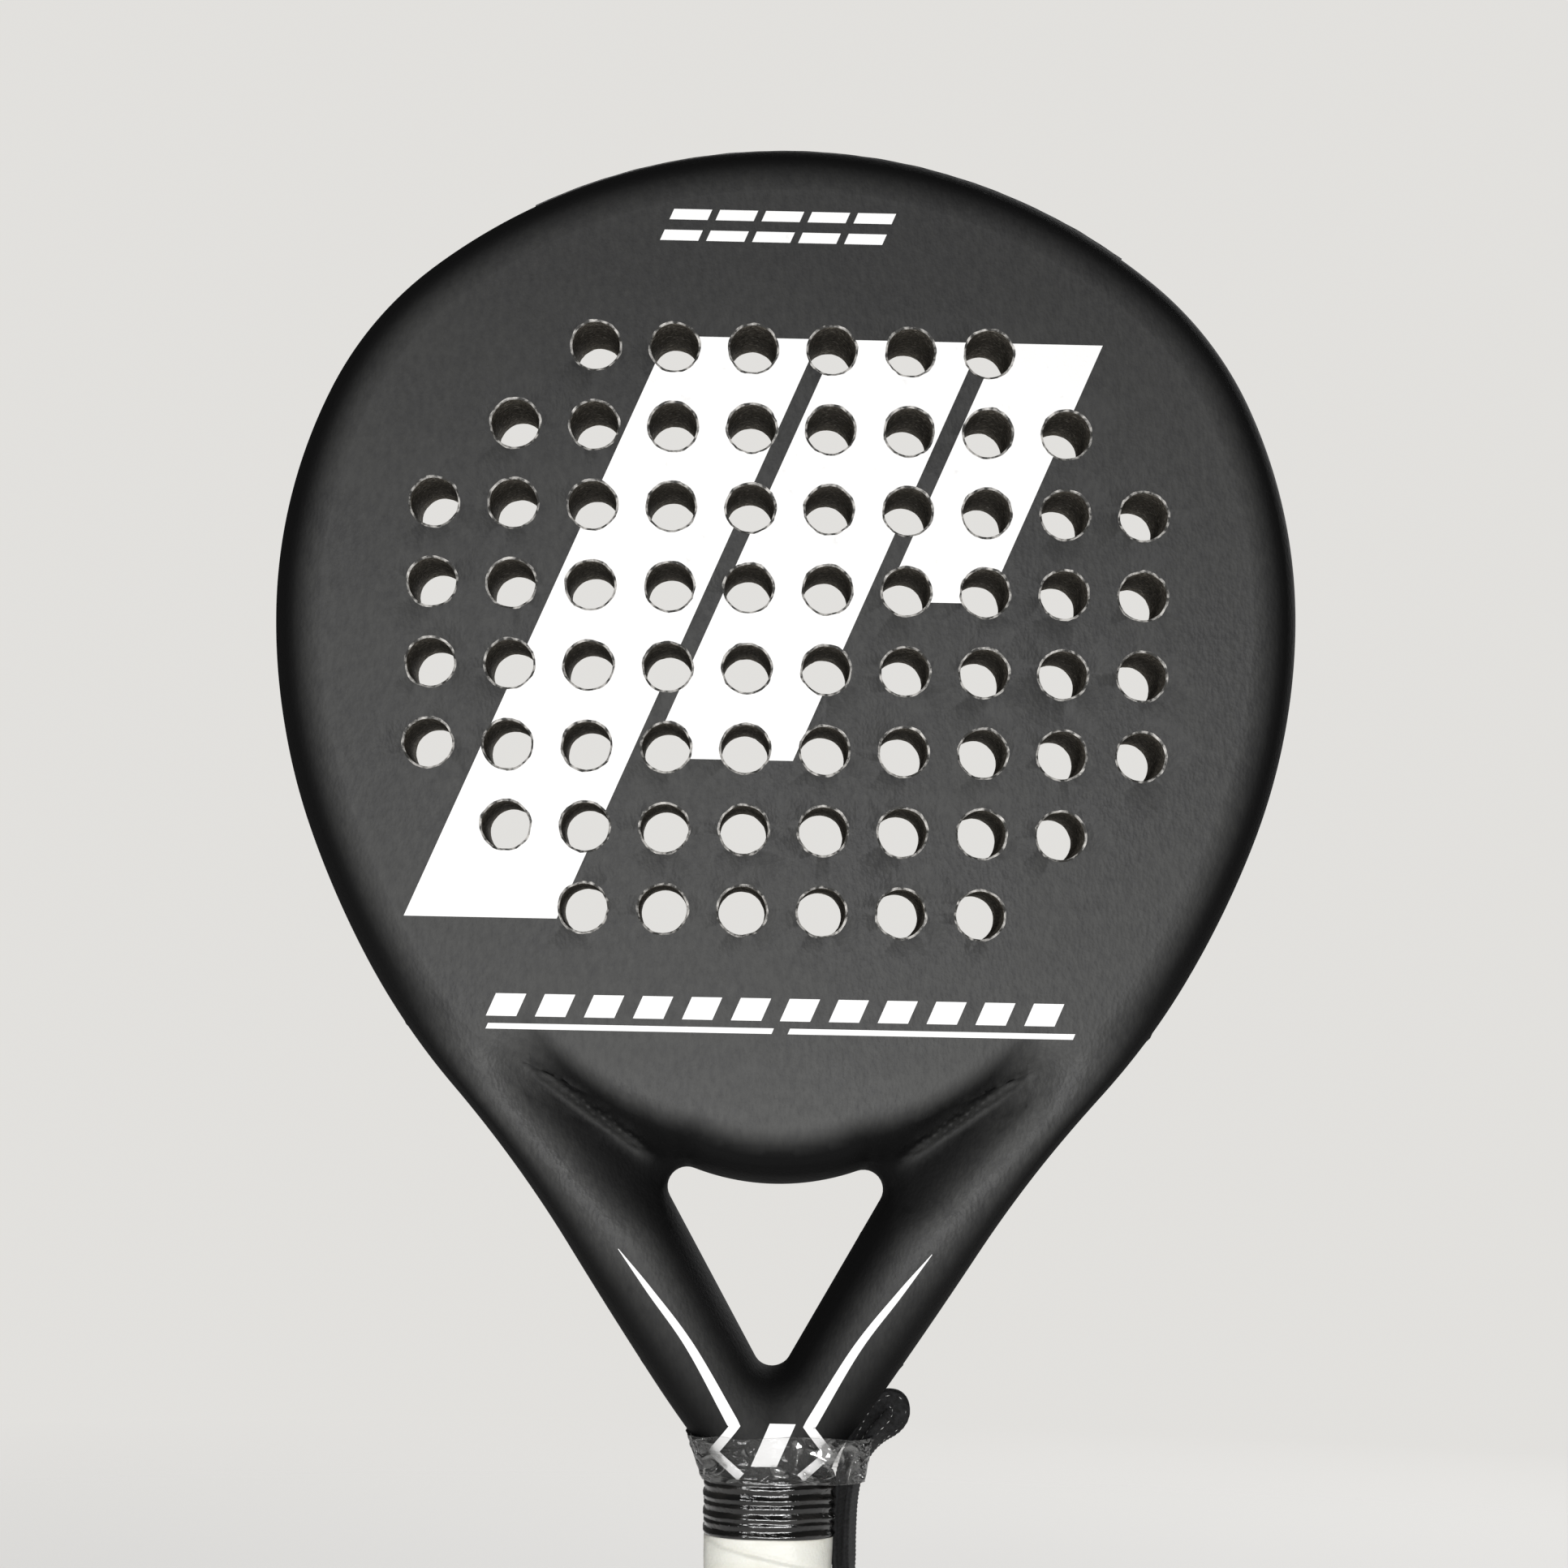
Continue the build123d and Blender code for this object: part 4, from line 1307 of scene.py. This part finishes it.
def sleeve(name, section, z_rows, offset, materials):
    """A tube along Z round the handle whose outside is offset(share round, z) proud of its section."""
    outer, out_normals = rounded_loop(*section, SLEEVE_POINTS)
    core, _ = rounded_loop(*PALLET_SECTION, SLEEVE_POINTS)
    rings = []
    for z in z_rows:
        push = np.array([offset(step / SLEEVE_POINTS, z) for step in range(SLEEVE_POINTS)])
        rings.append(np.insert(outer + out_normals * push[:, None], 2, z, axis=1))
    for z in (z_rows[-1], z_rows[0]):
        rings.append(np.insert(core, 2, z, axis=1))
    return lofted(name, rings, materials, capped=False)


def handle_sleeves(leather, rubber):
    """The wound grip and the collar over its upper end."""
    rows = np.linspace(GRIP_LOW, GRIP_TOP, GRIP_ROWS)
    grip = sleeve("wound_grip", GRIP_SECTION, rows, grip_offset, [leather])
    stand_for(grip, "grip_leather", "grip_wrap")
    rows = np.linspace(COLLAR_LOW, NECK_LOW, COLLAR_ROWS)
    collar = sleeve("shrunk_collar", COLLAR_SECTION, rows, collar_offset, [rubber])
    stand_for(collar, "collar_rubber", "grip_collar")


# The film's ends, as (left, right, depth, height), and its folds.
FILM_LOW = (-16.9, 23.6, 37.6, 118.6)
FILM_HIGH = (-20.9, 25.4, 35.2, 129.6)
FILM_CORNER = 11.0
FILM_POINTS = 180
FILM_ROWS = 44
FILM_FOLD = 0.55
FILM_WAVE = 0.25
FILM_RUFFLE = 0.9
FILM_INSIDE = 0.994


def clear_film(material):
    """The creased film sleeve round the neck and the strap."""
    rings = []
    for height in np.linspace(0, 1, FILM_ROWS):
        left, right, depth, z = np.array(FILM_LOW) * (1 - height) + np.array(FILM_HIGH) * height
        loop, out = rounded_loop(right - left, depth, FILM_CORNER, FILM_POINTS)
        ring = []
        for (x, y), (nx, ny), step in zip(loop, out, range(FILM_POINTS)):
            angle = 2 * pi * step / FILM_POINTS
            fold = noise_round(angle, 5, z / 4 + 3 * height)
            ruffle = FILM_RUFFLE * noise_round(angle, 3, 0.5) * height
            push = FILM_FOLD * abs(fold) + FILM_WAVE * fold
            ring.append((x + (left + right) / 2 + nx * push, y + ny * push, z + ruffle))
        rings.append(np.array(ring))
    centre = np.array(((FILM_LOW[0] + FILM_LOW[1]) / 2, 0, 0))
    inner = [centre + (ring - centre) * (FILM_INSIDE, FILM_INSIDE, 1) for ring in rings[::-1]]
    piece = lofted("creased_film", rings + inner, [material], capped=False)
    stand_for(piece, "film", "clear_film")


# ---------------------------------------------------------------- the wrist strap

STRAP_Y = -3.0
STRAP_WIDTH = 10.0
STRAP_THICKNESS = 1.8
STRAP_ROUTE = [
    (7.4, 6.0), (15.5, 6.0), (19.3, 9.6), (19.6, 18.0), (19.6, 80.0), (19.6, 85.0), (17.8, 92.0),
    (17.4, 101.0), (17.5, 118.0), (20.6, 128.2), (26.8, 137.4), (31.6, 138.4), (32.0, 133.6),
    (25.6, 128.8), (20.6, 118.0), (20.0, 101.0), (20.7, 92.0), (23.2, 85.0), (23.2, 80.0),
    (23.2, 16.0), (22.8, 6.0), (18.5, 2.4), (7.4, 2.4),
]
STRAP_FLAT = 0.94
STRAP_EDGE = 0.9
STRAP_EDGE_THICKNESS = 0.75
STRAP_POINTS = 11
RIB_PITCH = 1.1
RIB_DEPTH = 0.16
TWIST = radians(16)
TWIST_HEIGHTS = (88.0, 100.0)
FOLD_REACH = 18.0
FOLD_WIDTH = 0.62
FOLD_THICKNESS = 1.5
STITCH_REACH = 20.0
STITCH_PITCH = 2.0
STITCH_LENGTH = 1.0
STITCH_RADIUS = 0.14
STITCH_END = 0.4
STITCH_LINES = (-0.55, 0.55)
ROUTE_ORDER = 3
ROUTE_STEPS = 24


def strap_line():
    """Points along the strap's smooth route, read from its curve."""
    curve = bpy.data.curves.new("strap_route", "CURVE")
    curve.dimensions = "3D"
    spline = curve.splines.new("NURBS")
    spline.points.add(len(STRAP_ROUTE) - 1)
    for point, (x, z) in zip(spline.points, STRAP_ROUTE):
        point.co = (x * MM, STRAP_Y * MM, z * MM, 1)
    spline.order_u = ROUTE_ORDER
    spline.use_endpoint_u = True
    spline.resolution_u = ROUTE_STEPS
    route = bpy.data.objects.new("strap_route", curve)
    mesh = bpy.data.meshes.new_from_object(route)
    line = np.array([tuple(vertex.co) for vertex in mesh.vertices])
    bpy.data.objects.remove(route)
    return line


def even_steps(line, step):
    """The same line with evenly spaced points."""
    lengths = np.concatenate(([0], np.cumsum(np.linalg.norm(np.diff(line, axis=0), axis=1))))
    places = np.linspace(0, lengths[-1], round(lengths[-1] / step))
    return np.stack([np.interp(places, lengths, axis) for axis in line.T], 1), places


def strap_profile(place_on, folded):
    """Cross-section of the webbing as (across, out) points, with ribs across it and thin edges."""
    rib = RIB_DEPTH * 0.5 * (1 + cos(2 * pi * place_on / RIB_PITCH))
    half = STRAP_WIDTH / 2 * (1 + (FOLD_WIDTH - 1) * folded)
    thick = STRAP_THICKNESS / 2 * (1 + (FOLD_THICKNESS - 1) * folded)
    flat = np.linspace(-STRAP_FLAT, STRAP_FLAT, STRAP_POINTS)
    across = np.concatenate((flat, [1.0], -flat, [-1.0]))
    side = np.concatenate((np.ones(STRAP_POINTS), [0], -np.ones(STRAP_POINTS), [0]))
    edge = np.where(np.abs(across) > STRAP_EDGE, STRAP_EDGE_THICKNESS, 1)
    return across * half, side * (thick * edge - RIB_DEPTH + rib)


def stitch_row(point, tangent, across, outward, thickness, half_width):
    """Corner rings of the stitches in one row across the webbing, on both of its sides."""
    row = []
    for side in (-1, 1):
        for share in STITCH_LINES:
            middle = point + across * half_width * share + outward * side * thickness
            ends = []
            for end, swell in ((-1, STITCH_END), (0, 1.0), (1, STITCH_END)):
                centre = middle + tangent * end * STITCH_LENGTH / 2
                ends.append([
                    centre + (across * i + outward * j) * STITCH_RADIUS * swell
                    for i, j in ((1, 0), (0, 1), (-1, 0), (0, -1))
                ])
            row.append(ends)
    return row


def wrist_strap(material, thread):
    """The ribbed webbing, flat to the handle and turned to the front where it folds over."""
    line = strap_line()
    path, places = even_steps(line / MM, RIB_PITCH / 4)
    along = np.gradient(path, axis=0)
    along /= np.linalg.norm(along, axis=1)[:, None]
    fold = places[(path[:, 0] + path[:, 2]).argmax()]
    rings = []
    stitches = []
    next_stitch = fold - STITCH_REACH
    for point, tangent, place_on in zip(path, along, places):
        lean = TWIST * smooth_step(point[2], *TWIST_HEIGHTS)
        over = smooth_step(place_on, fold - FOLD_REACH, fold + FOLD_REACH)
        turn = -(lean + over * (pi - 2 * lean))
        folded = smooth_step(FOLD_REACH - abs(place_on - fold), 0, FOLD_REACH)
        out = np.cross(tangent, (0, 1, 0))
        across = np.array((0, cos(turn), 0)) + out * sin(turn)
        outward = np.cross(tangent, across)
        a, b = strap_profile(place_on, folded)
        rings.append(point + a[:, None] * across + b[:, None] * outward)
        if next_stitch <= place_on <= fold + STITCH_REACH:
            next_stitch += STITCH_PITCH
            stitches += stitch_row(point, tangent, across, outward, b.max(), a.max())
    strap = lofted("ribbed_strap", rings, [material, thread], extra=stitches)
    stand_for(strap, "strap_webbing", "wrist_strap")


# How the moulded pieces' edges are rounded.
BEVEL_SEGMENTS = 3
BEVEL_ANGLE = radians(40)
FLAT_ANGLE = radians(2)
WELD = 1e-6


def rounded_copy(name, node, material, slot, width, body="racket"):
    """A copy of a moulded CAD piece with its edges rounded."""
    form = bmesh.new()
    form.from_mesh(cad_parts[node].data)
    bmesh.ops.remove_doubles(form, verts=form.verts, dist=WELD)
    bmesh.ops.dissolve_limit(form, angle_limit=FLAT_ANGLE, verts=form.verts, edges=form.edges)
    vertices = [tuple(vertex.co / MM) for vertex in form.verts]
    faces = [[vertex.index for vertex in face.verts] for face in form.faces]
    form.free()
    piece = make_object(name, vertices, faces, [material], body)
    bevel = piece.modifiers.new("rounding", "BEVEL")
    bevel.width = width * MM
    bevel.segments = BEVEL_SEGMENTS
    bevel.limit_method = "ANGLE"
    bevel.angle_limit = BEVEL_ANGLE
    rounded = bpy.data.meshes.new_from_object(piece.evaluated_get(bpy.context.evaluated_depsgraph_get()))
    piece.modifiers.clear()
    piece.data = rounded
    piece.data.set_sharp_from_angle(angle=SHARP_ANGLE)
    stand_for(piece, slot, node)


def finish_node(node, material):
    """Give a CAD node that keeps its shape its material."""
    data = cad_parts[node].data
    data.materials.clear()
    data.materials.append(material)


# ---------------------------------------------------------------- camera, light and floor

FLOOR_HALF = 1.5
FLOOR_FADE = (0.3, 1.2)
FLOOR_GLOW = 0.34
SURROUND_LIGHT = 0.08
SURROUND_SEEN = 0.76

# A soft light in front, low down, and two that draw highlights: name, place, aim, size and power.
SOFTBOXES = [
    ("front_light", (0.0, -1.9, 0.12), (0, 0, 0.28), (0.6, 0.5), 26),
    ("window_light", (-0.5, -1.4, 0.9), (0, 0, 0.12), (0.25, 0.35), 6),
    ("rear_light", (0.9, 1.5, 1.0), (0, 0, 0.25), (1.2, 1.2), 17),
]


def add_aimed(name, data, spot, aim, roll=0.0):
    """A camera or a lamp at a spot, turned to its aim and rolled about that line."""
    thing = bpy.data.objects.new(name, data)
    bpy.context.scene.collection.objects.link(thing)
    thing.location = spot
    look = (Vector(aim) - Vector(spot)).to_track_quat("-Z", "Y")
    thing.rotation_mode = "QUATERNION"
    thing.rotation_quaternion = look @ Quaternion((0, 0, 1), roll)
    return thing


def add_camera():
    """The camera in front of the racket, a little below its head."""
    lens = bpy.data.cameras.new("camera")
    lens.lens = CAMERA_LENS
    bpy.context.scene.camera = add_aimed("camera", lens, CAMERA_PLACE, CAMERA_AIM, CAMERA_ROLL)


def add_softbox(name, spot, aim, size, power):
    """A rectangular soft light at a spot, turned to its aim."""
    data = bpy.data.lights.new(name, "AREA")
    data.shape = "RECTANGLE"
    data.size, data.size_y = size
    data.energy = power
    add_aimed(name, data, spot, aim)


def add_floor():
    """A plain pale floor that fades into the surround away from the racket."""
    material = new_material("pale_floor", (0.85, 0.845, 0.835), 0.9, Specular_IOR_Level=0.1)
    glow = material.node_tree.nodes["Principled BSDF"].inputs
    glow["Emission Color"].default_value = (1.0, 0.99, 0.975, 1)
    glow["Emission Strength"].default_value = FLOOR_GLOW
    where = add_node(material, "ShaderNodeTexCoord").outputs["Object"]
    away = add_node(material, "ShaderNodeVectorMath", {0: where}, operation="LENGTH").outputs["Value"]
    feed(material, "Alpha", remap(material, away, *FLOOR_FADE, 1.0, 0.0))
    mesh = bpy.data.meshes.new("floor")
    corners = [(FLOOR_HALF * x, FLOOR_HALF * y, 0) for x, y in ((-1, -1), (1, -1), (1, 1), (-1, 1))]
    mesh.from_pydata(corners, [], [(0, 1, 2, 3)])
    mesh.materials.append(material)
    floor = bpy.data.objects.new("floor", mesh)
    bpy.context.scene.collection.objects.link(floor)


def add_surround():
    """A pale surround that lights the racket less than it shows, so that black stays black."""
    world = bpy.data.worlds.new("studio")
    world.use_nodes = True
    background = world.node_tree.nodes["Background"].inputs
    background["Color"].default_value = (1.0, 0.985, 0.955, 1)
    seen = add_node(world, "ShaderNodeLightPath").outputs["Is Camera Ray"]
    strength = remap(world, seen, 0.0, 1.0, SURROUND_LIGHT, SURROUND_SEEN)
    world.node_tree.links.new(strength, background["Strength"])
    bpy.context.scene.world = world


def light_the_scene():
    """The surround and the soft lights."""
    add_surround()
    for lamp in SOFTBOXES:
        add_softbox(*lamp)
    bpy.context.scene.view_settings.view_transform = "Standard"


add_camera()
add_floor()
light_the_scene()

points, triangles = racket_mesh()
heights = half_thickness(points)
on_edge = np.minimum(distance(points, outline), distance(points, closed(throat))) < AT_EDGE
heights[on_edge] = 0
normals = surface_normals(points, heights)
heights, normals = relaxed(points, triangles, heights, normals)
# Painted sheen and painted shade of the lacquer at each point of the flat projection.
painted_sheen_amounts = painted_sheen(points)

ink = white_ink()
# Each lacquer's two painted charcoal sheen tones, mottled between at random.
frame_paint = lacquer("frame_lacquer", (0.044, 0.044, 0.044), (0.068, 0.068, 0.066))
face_paint = lacquer("face_lacquer", (0.05, 0.05, 0.05), (0.074, 0.074, 0.072))
face_pieces(frame_pieces(frame_paint), face_paint, chipped_fibre(), drilled_foam())
printed_marks(ink)
throat_print(ink)
edge_tape(guard_tape())
handle_sleeves(cream_leather(), glossy_rubber())
clear_film(clear_wrap())
strap_fabric = webbing()
wrist_strap(strap_fabric, waxed_thread())
cap_plastic = moulded_plastic("cap_plastic", 0.008, 0.018, 0.5)
rounded_copy("rounded_cap", "butt_cap", cap_plastic, "cap_plastic", 1.0)
slider_plastic = moulded_plastic("slider_plastic", 0.006, 0.014, 0.3)
rounded_copy("rounded_slider", "strap_slider", slider_plastic, "slider_plastic", 0.4, "slider")

pallet_foam = pale_foam()
steel = zinc_steel()
for node, material, slot in (
    ("handle_shaft", woven_fibre(), "bare_fibre"),
    ("handle_pallet_front", pallet_foam, "handle_foam"),
    ("handle_pallet_rear", pallet_foam, "handle_foam"),
    ("shaft_plug", moulded_plastic("plug_plastic", 0.18, 0.26, 0.55), "plug_plastic"),
    ("cap_screws", steel, "steel"),
    ("strap_anchor_pin", steel, "steel"),
    ("strap_tab", strap_fabric, "strap_webbing"),
):
    finish_node(node, material)
